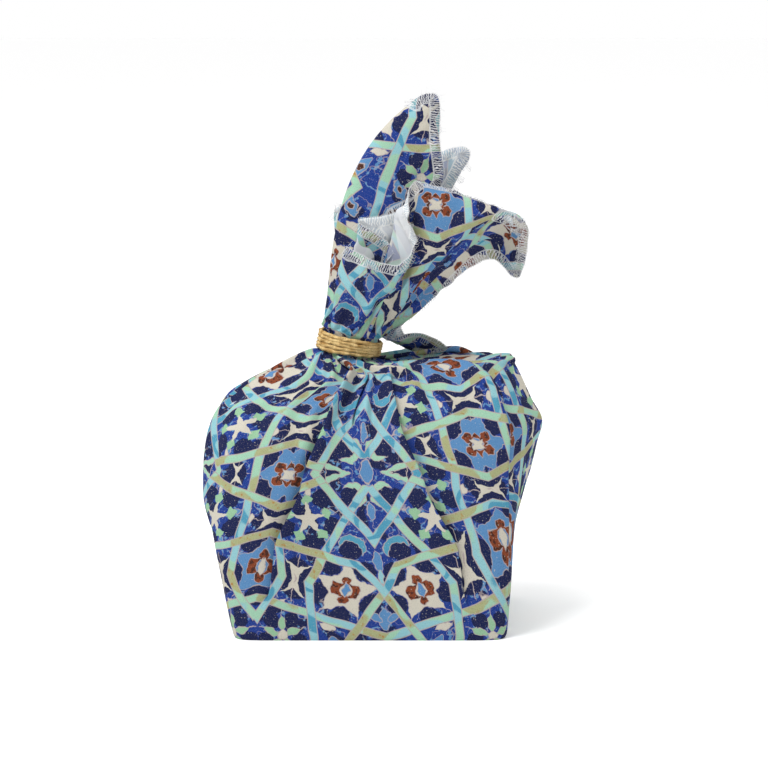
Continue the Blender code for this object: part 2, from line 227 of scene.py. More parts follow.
def foldsBegun(height):    # how far each fold has opened at a height, from 0 to 1
    return np.array([smooth((height - row[startColumn]) / clothSettings["foldRise"]) for row in foldTable])


def pleatStep(fold, step):    # counted from the fold's edge inwards, whichever side it faces
    return step if foldTable[fold][sideColumn] > 0 else pleatSteps - 1 - step


def columnPlan():    # what each column of the cloth belongs to: a fold or the panel after it
    plan = []
    spans = np.diff(np.append([row[3] for row in foldTable], foldTable[0][3] + 360))
    for index, span in enumerate(spans):
        plan += [("pleat", index, step) for step in range(pleatSteps)]
        count = max(6, round(clothSettings["panelColumns"] * span / 360))
        plan += [("panel", index, step / (count - 1)) for step in range(count)]
    return plan


def columnsAt(level):    # turn and height off the plain body, at one level
    settings = clothSettings
    height, folds = level[0], level[8]
    reach = reachOf(level)
    turns = foldTurns(height)
    begun = foldsBegun(height)
    talls = np.array([row[depthColumn] for row in foldTable]) * folds * begun
    count = len(foldTable)
    spans = (np.roll(turns, -1) - turns) % math.tau
    outTurns, outRises = [], []
    for kind, index, share in plan:
        after = (index + 1) % count
        span = spans[index]
        if kind == "panel":
            margin = min(settings["edgeShare"] * span, settings["edgeMargin"] / reach)
            away = margin + share * (span - 2 * margin)
            widest = min(settings["foldReach"], 0.9 * span * reach)
            rise = 0.0
            for gap, edge, side in ((away, index, -1), (span - away, after, 1)):
                over = foldTable[edge][sideColumn] == side
                width = widest if over else min(widest, settings["dipReach"])
                fade = max(0.0, 1 - gap * reach / width) ** 2
                rise += talls[edge] * fade * (1.0 if over else settings["underDip"])
            outTurns.append(turns[index] + away)
            outRises.append(rise)
            continue
        side, tall = foldTable[index][sideColumn], talls[index]
        before = (index - 1) % count
        overSpan = spans[before] if side > 0 else spans[index]
        room = min(spans[before], span)
        deep = min(foldTable[index][pleatColumn], settings["pleatShare"] * overSpan * reach)
        deep *= begun[index] ** 1.5
        gap = min(settings["layerGap"], 0.27 * tall)
        inner = settings["innerShare"] * tall + settings["innerGap"] * min(1.0, 3 * begun[index])
        step = min(0.1 * room * reach, settings["foldStep"])
        lip = min(settings["edgeShare"] * room * reach, settings["lipOverhang"] * tall) - step
        under = step - min(0.18 * room * reach, settings["tuck"] * tall)
        margin = min(settings["edgeShare"] * room * reach, settings["edgeMargin"])
        low = min(settings["underShare"] * tall, tall - 2 * gap)

        def over(back):    # height of the upper layer, back from its edge
            return tall * max(0.0, 1 - back / settings["foldReach"]) ** 2

        pleated = (
            (-0.75 * margin, over(0.75 * margin)),
            (min(-0.3 * margin, lip - 0.5), 0.5 * (tall + over(0.4 * margin))),
            (lip - 0.25, tall),
            (lip + 0.12, tall - 0.45 * gap),
            (lip - 0.2, tall - 0.95 * gap),
            (-0.33 * deep, over(0.33 * deep) - inner),
            (-0.67 * deep, over(0.67 * deep) - inner),
            (-deep, over(deep) - inner),
            (-deep - 0.35, over(deep) - 1.2 * inner),
            (-deep, over(deep) - 1.5 * inner),
            (-0.5 * deep, over(0.5 * deep) - 1.5 * inner),
            (under, low),
            (0.75 * margin, 0.6 * low),
        )
        number = pleatStep(index, share)
        flat = (number / (pleatSteps - 1) - 0.5) * 1.7 * margin
        offset, rise = pleated[number]
        offset = flat + (offset - flat) * begun[index]
        outTurns.append(turns[index] + side * offset / reach)
        outRises.append(rise * min(1.0, 2.5 * begun[index]))
    return np.array(outTurns), np.array(outRises)


plan = columnPlan()
columnCount = len(plan)


def hiddenColumn(index):    # whether a column lies inside a fold
    kind, fold, share = plan[index]
    if kind == "panel":
        return False
    return pleatStep(fold, share) in hiddenSteps


hiddenColumns = np.array([hiddenColumn(index) for index in range(columnCount)])
foldOf = np.array([fold for _, fold, _ in plan])


def gatherWave(turns):    # small uneven gathers
    pace = 1.3 * np.sin(2 * turns + 0.5) + 0.9 * np.sin(5 * turns)
    return 0.7 * np.cos(23 * turns + pace) + 0.3 * np.cos(37 * turns + 2 * np.sin(3 * turns))


# Soft creases pressed in the wrapped body: turn and height at each end, width and depth
bodyCreases = [
    # turnA heightA turnB heightB width depth
    (201.0, 116.0, 205.5, 134.0, 3.0, -1.4),
    (194.5, 114.0, 199.5, 134.0, 3.0, 1.6),
    (209.0, 114.0, 212.0, 134.0, 2.6, 1.0),
    (212.0, 76.0, 201.0, 117.0, 3.2, -2.2),
    (186.0, 104.0, 190.0, 129.0, 3.0, -1.8),
    (221.0, 106.0, 215.0, 132.0, 2.0, -2.2),
    (237.0, 102.0, 229.0, 133.0, 2.2, -2.6),
    (244.0, 82.0, 250.0, 112.0, 3.4, -1.1),
    (245.0, 110.0, 243.0, 133.0, 2.0, -3.2),
    (254.5, 112.0, 259.0, 134.0, 2.2, -2.4),
    (262.0, 108.0, 264.0, 134.0, 2.0, -1.2),
    (276.0, 104.0, 272.0, 133.0, 2.6, -2.0),
    (311.0, 121.0, 289.0, 133.5, 2.6, -2.3),
    (303.0, 128.0, 296.0, 133.5, 2.0, 1.1),
    (300.0, 106.0, 291.0, 130.0, 3.0, -0.9),
    (334.0, 74.0, 342.0, 127.0, 3.6, -1.5),
    (321.0, 112.0, 308.0, 132.0, 3.4, -1.3),
    (296.0, 40.0, 302.0, 76.0, 4.0, -0.7),
    (236.0, 20.0, 240.0, 60.0, 4.5, -0.8),
]


def creaseDepth(turns, height, reach):
    total = np.zeros_like(turns)
    for turnA, heightA, turnB, heightB, width, depth in bodyCreases:
        share = (height - heightA) / (heightB - heightA)
        if -0.3 < share < 1.3:
            ends = smooth((share + 0.3) / 0.5) * smooth((1.3 - share) / 0.4)
            middle = math.radians(turnA + (turnB - turnA) * share)
            away = ((turns - middle + math.pi) % math.tau - math.pi) * reach
            total += depth * ends * np.exp(-((away / width) ** 2))
    return total


def bodyRows():
    rings, turnRows, heights, folded = [], [], [], []
    places = [0.0]
    for index, count in enumerate(clothSettings["bodyRows"]):
        places += [index + (step + 1) / count for step in range(count)]
    for place in places:
        level = levelsAt(np.array([place]))[0]
        turns, rises = columnsAt(level)
        normals = bodyNormals(turns, place)
        if place <= 1:
            normals[:, 2] = 0
        calm = np.where(hiddenColumns, 0.35, 1.0)
        dip = np.where(hiddenColumns, 0.7 * level[9], 0.0)
        out = rises + calm * level[9] * gatherWave(turns) - dip + creaseDepth(turns, level[0], reachOf(level))
        rings.append(bodyPoints(turns, level) + normals * out[:, None])
        turnRows.append(turns)
        heights.append(level[0])
        folded.append(np.where(hiddenColumns, foldsBegun(level[0])[foldOf], 0.0))
    return rings, turnRows, heights, np.array(folded)


leanTurn = np.array(Matrix.Rotation(math.radians(tieSettings["leanDegrees"]), 3, "Y"))


def neckRing(turns, rise, out):
    across = np.stack([(tieSettings["halfWidth"] + out) * np.cos(turns),
                       (tieSettings["halfDepth"] + out) * np.sin(turns),
                       np.full_like(turns, rise)], -1)
    return np.array(tieSettings["centre"]) + across @ leanTurn.T


def ribsAt(turns):    # turns in degrees
    table = np.array([row[1:] for row in tailRibs], float)
    starts = table[:, 0]
    at = (turns - starts[0]) % 360 + starts[0]
    index = np.searchsorted(starts, at, side="right") - 1
    nexts = np.append(starts[1:], starts[0] + 360)
    share = ((at - starts[index]) / (nexts[index] - starts[index]))[:, None]
    rows = [table[(index + step) % len(table), 1:] for step in (-1, 0, 1, 2)]
    values = cubic(*rows, share)
    return values[:, :3], values[:, 3:]


def tailTurns(firstTurn):    # columns spread along the hem, more of them where it is long
    dense = firstTurn + np.linspace(0, 360, 2881)
    hem = ribsAt(dense)[1]
    steps = np.linalg.norm(np.diff(hem, axis=0), axis=1)
    steps = steps / steps.sum() + 0.6 / len(steps)
    along = np.append(0, np.cumsum(steps))
    return np.radians(np.interp(np.arange(columnCount) / columnCount * along[-1], along, dense))


# Valleys and ridges along the flared ends: turn and share of the height at each end, width, depth
tailCreases = [
    # turnA shareA turnB shareB width depth
    (276.0, 0.15, 239.0, 0.92, 3.4, -2.2),
    (288.0, 0.1, 256.0, 0.8, 3.6, 1.2),
    (318.0, 0.12, 276.0, 0.9, 3.4, -2.2),
    (330.0, 0.15, 300.0, 0.7, 4.0, 1.1),
    (344.0, 0.15, 318.0, 0.8, 3.6, -1.4),
    (262.0, 0.1, 232.0, 0.7, 3.6, 1.5),
    (246.0, 0.1, 226.0, 0.5, 3.0, -1.2),
    (190.0, 0.1, 170.0, 0.9, 4.0, -0.9),
    (150.0, 0.2, 150.0, 0.9, 4.5, 0.8),
    (98.0, 0.1, 120.0, 0.9, 4.0, -1.4),
    (60.0, 0.15, 62.0, 0.9, 3.6, -1.0),
]


def tailRelief(turns, share, arcs, along):
    degrees = np.degrees(turns)
    total = 0.9 * math.exp(-share / 0.22) * gatherWave(turns)
    for turnA, shareA, turnB, shareB, width, depth in tailCreases:
        at = (share - shareA) / (shareB - shareA)
        if -0.25 < at < 1.25:
            ends = float(smooth((at + 0.25) / 0.5) * smooth((1.25 - at) / 0.4))
            centre = (turnA + (turnB - turnA) * at - degrees[0]) % 360 + degrees[0]
            away = arcs[:-1] - np.interp(centre, np.append(degrees, degrees[0] + 360), arcs)
            away = (away + 0.5 * arcs[-1]) % arcs[-1] - 0.5 * arcs[-1]
            total = total + depth * ends * np.exp(-((away / width) ** 2))
    ripple = np.sin(along / 2.6 + 1.3 * np.sin(along / 9.0)) + 0.6 * np.sin(along / 1.3 + 2.0)
    total = total + 0.42 * smooth((share - 0.72) / 0.28) * ripple
    rolled = smooth((degrees - 298) / 8) * smooth((352 - degrees) / 8)
    total = total - 5.0 * rolled * max(0.0, (share - 0.84) / 0.16) ** 1.6
    slack = np.sin(4.1 * turns + 5.0 * share) + np.sin(9.3 * turns - 7.0 * share + 1.0)
    return total + 0.35 * slack * smooth(share / 0.3)


def tailRows(turns, foot):
    middle, hem = ribsAt(np.degrees(turns))
    rings = []
    count = clothSettings["tailRows"]
    for row in range(1, count + 1):
        share = row / count
        rings.append(foot * ((1 - share) * (1 - 2 * share)) + middle * (4 * share * (1 - share))
                     + hem * (share * (2 * share - 1)))
    rings = np.array(rings)
    around = np.roll(rings, -1, axis=1) - np.roll(rings, 1, axis=1)
    upward = np.gradient(np.concatenate([foot[None], rings]), axis=0)[1:]
    normals = unit(np.cross(around, upward))
    closed = np.concatenate([rings, rings[:, :1]], axis=1)
    arcs = np.cumsum(np.linalg.norm(np.diff(closed, axis=1), axis=-1), axis=1)
    arcs = np.concatenate([np.zeros((count, 1)), arcs], axis=1)
    relief = np.array([tailRelief(turns, (row + 1) / count, arcs[row], arcs[-1, :-1]) for row in range(count)])
    return rings + normals * relief[..., None]


def clothGrid():
    body, turnRows, heights, folded = bodyRows()
    base = [np.stack([body[0][:, 0] * share, body[0][:, 1] * share, np.zeros(columnCount)], -1)
            for share in clothSettings["baseRings"]]
    pleated = turnRows[-1]
    steady = np.unwrap(pleated)
    steady = np.linspace(steady[0], steady[0] + math.tau, columnCount, endpoint=False)
    flared = tailTurns(math.degrees(steady[0]))
    necks = []
    for rise in clothSettings["bandRises"]:
        share = smooth((rise + 4.5) / 8.5)
        turns = pleated * (1 - share) + flared * share
        out = 0.1 * gatherWave(turns) - 1.4 * (1 - share) * hiddenColumns
        if rise > 5.5:
            out = (0.4 + 1.0 * (rise - 5.2) / 1.6) + 0.7 * (rise - 5.2) / 1.6 * gatherWave(turns)
        necks.append(neckRing(turns, rise, out))
    tail = tailRows(flared, necks[-1])
    rings = np.array([*base, *body, *necks, *tail])
    return rings, len(base), len(body), turnRows, heights, flared, folded


grid, baseCount, bodyCount, bodyTurns, bodyHeights, flaredTurns, foldedShare = clothGrid()
print("cloth grid", grid.shape)


def panelColumnsOf(fold):    # columns that carry one panel's print: from a pleat's depth to the next one's
    found = [index for index, (kind, of, _) in enumerate(plan) if kind == "panel" and of == fold]
    return found[0], found[-1]


# Print panels of the wrapped body: the line that the print is squared to, as turns at three heights
frontAxis = ((0.0, 279.0), (26.0, 278.3), (87.0, 272.1), (112.0, 269.0), (136.0, 267.0))

frontPanels = ("frontLeft", "frontSmall")    # these two carry one print between them

# How far the folds have drawn the print of a panel along and down, in millimetres, above 60 mm
panelSlides = {
    "leftFront": (-6.0, 0.0),
    "frontRight": (-2.0, -15.5),
    "cornerRight": (-2.0, -15.5),
    "earEdge": (-2.0, -15.5),
    "earBack": (-1.0, -8.0),
}

# Print panels of the flared ends: turn where each begins, then one point of it by turn and share of the
# height, the print's place there, and the way its column runs in the print, in degrees
tailPanels = [
    # start turn share printX printY degrees
    (2.0, 24.0, 0.6, 30.0, 0.0, 60.0),
    (38.0, 58.0, 0.7, 0.0, 40.0, 80.0),
    (78.0, 95.0, 0.6, 60.0, 20.0, 90.0),
    (108.0, 158.6, 0.76, 36.2, 14.3, 75.0),
    (186.0, 205.0, 0.7, 66.0, 10.0, 90.0),
    (218.0, 258.0, 0.35, 0.0, 52.1, 52.0),
    (268.0, 288.0, 0.6, 30.0, 20.0, 80.0),
    (302.0, 310.3, 0.76, 64.7, 87.6, 73.0),
    (345.0, 355.0, 0.8, 19.0, 27.0, 20.0),
]


def relaxed(points, flat, rounds):    # moves a flat copy until its edges and diagonals have their real lengths
    whole, most, least = slice(None), slice(1, None), slice(None, -1)
    pairs = (((whole, most), (whole, least)), ((most, whole), (least, whole)),
             ((most, most), (least, least)), ((most, least), (least, most)))
    lengths = [np.linalg.norm(points[a] - points[b], axis=-1) for a, b in pairs]
    shares = np.zeros(points.shape[:2])
    for a, b in pairs:
        shares[a] += 1
        shares[b] += 1
    for _ in range(rounds):
        moves = np.zeros_like(flat)
        for (a, b), length in zip(pairs, lengths):
            gap = flat[a] - flat[b]
            now = np.linalg.norm(gap, axis=-1)
            pull = gap * (0.5 * (length - now) / np.maximum(now, 1e-6))[..., None]
            moves[a] += pull
            moves[b] -= pull
        flat = flat + 1.5 * moves / shares[..., None]
    return flat


def flattened(points):    # one panel laid flat, coarse first
    rowCount, width = points.shape[:2]
    flat = None
    for stride, rounds in ((6, 500), (3, 300), (1, 120)):
        rows = np.unique(np.append(np.arange(0, rowCount, stride), rowCount - 1))
        columns = np.unique(np.append(np.arange(0, width, stride), width - 1))
        picked = points[np.ix_(rows, columns)]
        if flat is None:
            steps = np.linalg.norm(np.diff(picked, axis=1), axis=-1)
            x = np.concatenate([np.zeros((len(rows), 1)), np.cumsum(steps, axis=1)], axis=1)
            x -= 0.5 * x[:, -1:]
            climbs = np.linalg.norm(np.diff(picked, axis=0), axis=-1).mean(axis=1)
            y = np.append(0, np.cumsum(climbs))[:, None] + np.zeros_like(x)
            start = np.stack([x, y], -1)
        else:
            start = np.stack([[np.interp(columns, lastColumns, line) for line in flat[..., axis]]
                              for axis in (0, 1)], -1)
            start = np.stack([[np.interp(rows, lastRows, line) for line in start[..., axis].T]
                              for axis in (0, 1)], -1).transpose(1, 0, 2)
        flat = relaxed(picked, start, rounds)
        lastRows, lastColumns = rows, columns
    return flat


def summed(steps):    # running length along each ring, from its first column
    return np.concatenate([np.zeros((len(steps), 1)), np.cumsum(steps, axis=1)], axis=1)


def bodyPrint(places, upward):    # panels of the wrapped body, each laid out from its middle column
    bodyEnd = baseCount + bodyCount
    steps = np.linalg.norm(np.diff(np.concatenate([grid, grid[:, :1]], axis=1), axis=1), axis=-1)
    real = summed(steps)
    steps[baseCount:bodyEnd] *= 1 - foldedShare
    around = summed(steps)
    inPanels = np.array([index for index in range(columnCount) if plan[index][0] == "panel"])
    axisTurns = np.radians(np.interp(bodyHeights, *zip(*frontAxis)))
    axisAround = np.zeros(len(grid))
    for row, turns in enumerate(bodyTurns):
        ring = baseCount + row
        axisAround[ring] = np.interp(axisTurns[row], np.unwrap(turns)[inPanels], around[ring, inPanels])
    axisAround[:baseCount] = axisAround[baseCount] * np.array(clothSettings["baseRings"])
    heights = np.array([0.0] * baseCount + list(bodyHeights))
    slid = smooth((heights - 12) / 50)
    for fold, (name, *_) in enumerate(foldTable):
        slideX, slideY = panelSlides.get(name, (0.0, 0.0))
        first, last = panelColumnsOf(fold)
        middle = (first + last) // 2
        anchor = axisAround if name in frontPanels else around[:, middle]
        begin = anchor[baseCount] - axisAround[baseCount]
        climb = upward[:, middle] - upward[baseCount, middle]
        start = first - pleatSteps + pleatStep(fold, deepestStep)
        stop = last + 1 + pleatStep((fold + 1) % len(foldTable), deepestStep)
        for column in range(start, stop):
            at = column % columnCount
            wrap = real[:, -1] * ((column - at) // columnCount)
            for side in (0, 1):
                flat = real[:, at + side] + wrap - real[:, middle] + around[:, middle] - anchor + begin
                places[:bodyEnd, at, side, 0] = flat[:bodyEnd] + slideX * slid
                places[:bodyEnd, at, side, 1] = climb[:bodyEnd] + slideY * slid


def tailPrint(places, tailStart):    # panels of the flared ends, laid flat and turned into place
    degrees = np.degrees(flaredTurns)
    begins = [panel[0] for panel in tailPanels]
    spots = (degrees - begins[0]) % 360 + begins[0]
    owners = np.searchsorted(begins, spots, side="right") - 1
    for index, (_, turn, share, printX, printY, way) in enumerate(tailPanels):
        members = np.flatnonzero(owners == index)
        if len(members) > 1 and np.max(np.diff(members)) > 1:    # the panel runs past the last column
            cut = int(np.argmax(np.diff(members))) + 1
            members = np.append(members[cut:], members[:cut])
        columns = np.append(members, members[-1] + 1)
        flat = flattened(grid[tailStart:, columns % columnCount])
        column = int(np.argmin(np.abs((degrees[members] - turn + 180) % 360 - 180)))
        row = round(len(flat) - 1 - (1 - share) * clothSettings["tailRows"])
        reach = flat[min(row + 4, len(flat) - 1), column] - flat[row - 4, column]
        swing = math.radians(way) - math.atan2(reach[1], reach[0])
        flat = flat - flat[row, column]
        x = printX + math.cos(swing) * flat[..., 0] - math.sin(swing) * flat[..., 1]
        y = printY + math.sin(swing) * flat[..., 0] + math.cos(swing) * flat[..., 1]
        for side in (0, 1):
            places[tailStart:, members, side, 0] = x[:, side:len(members) + side]
            places[tailStart:, members, side, 1] = y[:, side:len(members) + side]


def printMap():    # for each ring and column step: the print's place at its left and right end
    bodyEnd = baseCount + bodyCount
    tailStart = bodyEnd + clothSettings["hiddenNeck"]
    climbs = np.linalg.norm(np.diff(grid, axis=0), axis=-1)
    upward = np.concatenate([np.zeros((1, columnCount)), np.cumsum(climbs, axis=0)])
    places = np.zeros((len(grid), columnCount, 2, 2))    # ring, column, (left, right) side, (x, y)
    bodyPrint(places, upward)
    for ring in range(bodyEnd, tailStart):
        places[ring] = places[bodyEnd - 1]
        places[ring, ..., 1] += (upward[ring] - upward[bodyEnd - 1])[:, None]
    tailPrint(places, tailStart)
    return places


hemSettings = {
    "far": 200.0,             # stands for anywhere away from the hem
    "rings": 16,              # measured, counted from the hem
    "columns": 40,            # searched each way
    "fine": 6,                # steps for each column
    "hangingLeaf": (20.0, 39.0),    # turns where the threads end sooner
    "shorter": 3.0,
    "thinCorner": (46.0, 80.0),     # turns where painted light shining through the cloth shows the print most
}


def closedHem():    # its points, the first one again at the end, and the way along them
    closed = np.concatenate([grid[-1], grid[-1][:1]])
    return closed, np.append(0, np.cumsum(np.linalg.norm(np.diff(closed, axis=0), axis=1)))


def hemMap():    # for each point of the flared ends: how far along the hem it lies, and how far from it
    fineSteps, reach = hemSettings["fine"], hemSettings["columns"]
    closed, along = closedHem()
    fine = np.linspace(0, columnCount, fineSteps * columnCount, endpoint=False)
    knots = np.arange(columnCount + 1)
    dense = np.stack([np.interp(fine, knots, closed[:, axis]) for axis in range(3)], -1)
    denseAlong = np.interp(fine, knots, along)
    places = np.full((len(grid), columnCount, 2), hemSettings["far"])
    for row in range(len(grid) - hemSettings["rings"], len(grid)):
        for column in range(columnCount):
            near = np.arange(fineSteps * (column - reach), fineSteps * (column + reach)) % len(dense)
            gaps = np.linalg.norm(dense[near] - grid[row, column], axis=1)
            best = int(np.argmin(gaps))
            places[row, column] = denseAlong[near[best]], gaps[best]
    degrees = np.degrees(flaredTurns) % 360
    first, last = hemSettings["hangingLeaf"]
    places[:, (degrees > first) & (degrees < last), 1] += hemSettings["shorter"]
    return places, along[-1]


def alongHem(turn):    # millimetres round the hem to a turn in degrees
    degrees = np.degrees(np.append(flaredTurns, flaredTurns[0] + math.tau))
    return float(np.interp((turn - degrees[0]) % 360 + degrees[0], degrees, closedHem()[1]))


def makeCloth():
    places = printMap()
    hems, hemLength = hemMap()
    ringCount = len(grid)
    mesh = bpy.data.meshes.new("cloth_sheet")
    points = np.concatenate([grid.reshape(-1, 3), [[0.0, 0.0, 0.0]]]) * mm
    row, column = np.meshgrid(np.arange(ringCount - 1), np.arange(columnCount), indexing="ij")
    row, column = row.ravel(), column.ravel()
    nextColumn = (column + 1) % columnCount
    corners = np.stack([row * columnCount + column, row * columnCount + nextColumn,
                        (row + 1) * columnCount + nextColumn, (row + 1) * columnCount + column], -1)
    ring = np.arange(columnCount)
    centre = np.stack([np.full(columnCount, ringCount * columnCount), (ring + 1) % columnCount, ring], -1)
    mesh.vertices.add(len(points))
    mesh.vertices.foreach_set("co", points.ravel())
    mesh.loops.add(corners.size + centre.size)
    mesh.loops.foreach_set("vertex_index", np.concatenate([corners.ravel(), centre.ravel()]))
    mesh.polygons.add(len(corners) + len(centre))
    sizes = np.concatenate([np.full(len(corners), 4), np.full(len(centre), 3)])
    mesh.polygons.foreach_set("loop_start", np.concatenate([[0], np.cumsum(sizes)[:-1]]))
    mesh.update(calc_edges=True)
    mesh.validate()
    printUV = mesh.uv_layers.new(name="print")
    hemUV = mesh.uv_layers.new(name="hem")
    quads = np.stack([places[row, column, 0], places[row, column, 1],
                      places[row + 1, column, 1], places[row + 1, column, 0]], 1)
    under = np.zeros((len(centre), 3, 2))
    printUV.data.foreach_set("uv", np.concatenate([quads.ravel(), under.ravel()]))
    hemQuads = np.stack([hems[row, column], hems[row, nextColumn],
                         hems[row + 1, nextColumn], hems[row + 1, column]], 1)
    drift = hemQuads[:, :, 0] - hemQuads[:, :1, 0]
    hemQuads[:, :, 0] -= np.round(drift / hemLength) * hemLength
    hemUV.data.foreach_set("uv", np.concatenate([hemQuads.ravel(), np.full(under.size, hemSettings["far"])]))
    mesh.shade_smooth()
    piece = bpy.data.objects.new("cloth_sheet", mesh)
    bpy.context.scene.collection.objects.link(piece)
    return piece


class Field:    # a socket that takes sums as Python writes them
    tree = None

    def __init__(self, socket):
        self.socket = socket

    @classmethod
    def node(cls, kind, settings=None, **inputs):
        made = cls.tree.nodes.new(kind)
        for key, value in (settings or {}).items():
            setattr(made, key, value)
        for key, value in inputs.items():
            target = made.inputs[int(key[2:])] if key.startswith("in") else made.inputs[key]
            value = value.socket if isinstance(value, Field) else value
            if isinstance(value, bpy.types.NodeSocket):
                cls.tree.links.new(value, target)
            else:
                target.default_value = value
        return made

    @classmethod
    def maths(cls, operation, *values, clamp=False):
        settings = {"operation": operation, "use_clamp": clamp}
        made = cls.node("ShaderNodeMath", settings, **{f"in{i}": value for i, value in enumerate(values)})
        return Field(made.outputs[0])

    def __add__(self, other):
        return Field.maths("ADD", self, other)

    def __radd__(self, other):
        return Field.maths("ADD", other, self)

    def __sub__(self, other):
        return Field.maths("SUBTRACT", self, other)

    def __rsub__(self, other):
        return Field.maths("SUBTRACT", other, self)

    def __mul__(self, other):
        return Field.maths("MULTIPLY", self, other)

    def __rmul__(self, other):
        return Field.maths("MULTIPLY", other, self)

    def abs(self):
        return Field.maths("ABSOLUTE", self)

    def least(self, other):
        return Field.maths("MINIMUM", self, other)

    def most(self, other):
        return Field.maths("MAXIMUM", self, other)

    def fold(self, period):
        return Field.maths("PINGPONG", self, period)

    def cos(self):
        return Field.maths("COSINE", self)

    def sin(self):
        return Field.maths("SINE", self)

    def angle(self, other):
        return Field.maths("ARCTAN2", self, other)

    def root(self):
        return Field.maths("SQRT", self)

    def ramp(self, low, high):
        scale = 1.0 / (high - low)
        return Field.maths("MULTIPLY_ADD", self, scale, -low * scale, clamp=True)

    def below(self, edge, soft=0.12):
        return self.ramp(edge + soft, edge - soft)


def blend(under, over, mask):
    mixer = Field.tree.nodes.new("ShaderNodeMix")
    mixer.data_type = "RGBA"
    for socket, value in ((mixer.inputs[0], mask), (mixer.inputs[6], under), (mixer.inputs[7], over)):
        if isinstance(value, Field):
            Field.tree.links.new(value.socket, socket)
        elif isinstance(value, bpy.types.NodeSocket):
            Field.tree.links.new(value, socket)
        elif isinstance(value, (int, float)):
            socket.default_value = value
        else:
            socket.default_value = (*linear(value), 1.0)
    return mixer.outputs[2]


def newMaterial(name):
    material = bpy.data.materials.new(name)
    material.use_nodes = True
    Field.tree = material.node_tree
    return material, material.node_tree.nodes["Principled BSDF"]


def linear(code):
    values = [int(code[i:i + 2], 16) / 255 for i in (1, 3, 5)]
    return tuple(v / 12.92 if v <= 0.04045 else ((v + 0.055) / 1.055) ** 2.4 for v in values)


printSettings = {
    "halfWidth": 64.7,        # from one mirror line of the print to the next
    "low": -12.0,
    "high": 87.6,
    "bandHalf": 1.75,
    "lineHalf": 2.2,
    "wander": 2.6,            # how far the hand-laid lines stray
    "wobble": 2.3,            # and the edges of the painted motifs
    "points": 5,              # of each flower and star
}

printColours = {
    "navy": "#172047", "cobalt": "#1f3a84", "deep": "#181a38", "mint": "#96c0a6", "cyan": "#88b9c0",
    "turquoise": "#4b91ab", "olive": "#9fa378", "ochre": "#a8783c", "cream": "#c3beb0",
    "rust": "#7d3e24", "brown": "#46281e", "blue": "#5583b0", "leaf": "#8cb592", "line": "#ab9d9b",
}

# Noises that the print is drawn with: size in millimetres and seed
printNoises = {
    "broad": (13.0, 3.0), "mottle": (2.4, 11.0), "patch": (26.0, 23.0), "strayX": (21.0, 31.0),
    "strayY": (21.0, 47.0), "wobbleU": (3.6, 53.0), "wobbleV": (3.6, 67.0), "vine": (8.0, 83.0),
    "buds": (2.4, 91.0),
}

# Straight edges of the interlace, in millimetres: a point on each and its direction in degrees
printBands = {
    "rise": ((0.0, 26.0), 54.0),
    "sweep": ((10.0, 39.8), 18.0),
    "fall": ((0.0, 26.0), -54.0),
    "low": ((0.0, 2.5), 18.0),
    "cross": ((0.0, 81.0), -54.0),
    "post": ((36.2, 31.3), -90.0),
    "chevron": ((0.0, 52.1), 54.0),
    "brow": ((22.0, 84.5), -18.0),
    "stem": ((48.5, 87.6), -90.0),
    "heel": ((48.5, 35.2), -54.0),
}

# Charted motifs of one repeat: place, turn in degrees, then sizes in millimetres and colours
palmetteRows = [
    # place turn outer inner ground heart
    ((18.8, 27.0), 106, 15.0, 8.6, "cream", "blue"),
    ((64.7, 40.0), 90, 15.5, 9.6, "blue", "cream"),
    ((64.7, 87.6), 36, 15.5, 9.6, "blue", "cream"),
]
starRow = ((31.3, 64.0), 90)
pinchedRows = [
    # place turn scale
    ((42.3, 33.3), -72, 1.0),
    ((64.7, 64.0), 0, 0.9),
    ((38.5, 87.6), 90, 0.62),
]
crescentRows = [
    # place turn radius colour
    ((8.5, 75.4), 60, 5.6, "mint"),
    ((11.8, 47.6), 24, 6.0, "turquoise"),
]
dropRows = [
    # place turn half width, half length, colour
    ((0.0, 67.5), 90, 1.5, 5.2, "blue"),
    ((0.0, 41.5), 90, 2.3, 5.6, "blue"),
    ((0.0, 34.0), 90, 1.3, 3.4, "cyan"),
    ((0.0, 11.5), 90, 3.4, 5.4, "blue"),
    ((4.4, 12.5), 40, 1.7, 3.8, "blue"),
    ((51.5, 65.0), 90, 1.2, 2.6, "cream"),
    ((29.0, 42.0), 140, 1.2, 3.0, "cream"),
    ((29.0, 8.0), 20, 1.6, 4.0, "cream"),
    ((30.5, 79.0), 70, 1.2, 3.0, "cream"),
    ((52.0, 20.5), 160, 1.1, 3.4, "cream"),
]
budRows = [((26.0, -2.0), 70), ((43.5, -6.0), 120)]
rosetteRow = ((52.0, 4.0), 20)


def sideOf(u, v, name):    # signed distance to one straight edge, positive on its left
    (px, py), degrees = printBands[name]
    nx, ny = -math.sin(math.radians(degrees)), math.cos(math.radians(degrees))
    return u * nx + v * ny - (px * nx + py * ny)


def turned(u, v, at, degrees):    # places seen from a motif's own middle and axis
    c, s = math.cos(math.radians(degrees)), math.sin(math.radians(degrees))
    return (u * c + v * s - (at[0] * c + at[1] * s)), (v * c - u * s - (at[1] * c - at[0] * s))


def armsOf(x, y):    # folded onto one arm: along it, off it, radius, share of the way to the valley
    count = printSettings["points"]
    radius = (x * x + y * y).root()
    turn = (y.angle(x) + math.tau).fold(math.pi / count)
    return radius * turn.cos(), radius * turn.sin(), radius, turn * (count / math.pi)


def roundAt(x, y, px, py, radius):
    dx, dy = x - px, y - py
    return (dx * dx + dy * dy).root() - radius


def stamp(colour, shape, fill, rim=0.32):    # fills where the shape is below zero, with a pale rim
    if rim:
        colour = blend(colour, printColours["line"], shape.below(rim))
    return blend(colour, fill, shape.below(-0.05 if rim else 0.0))


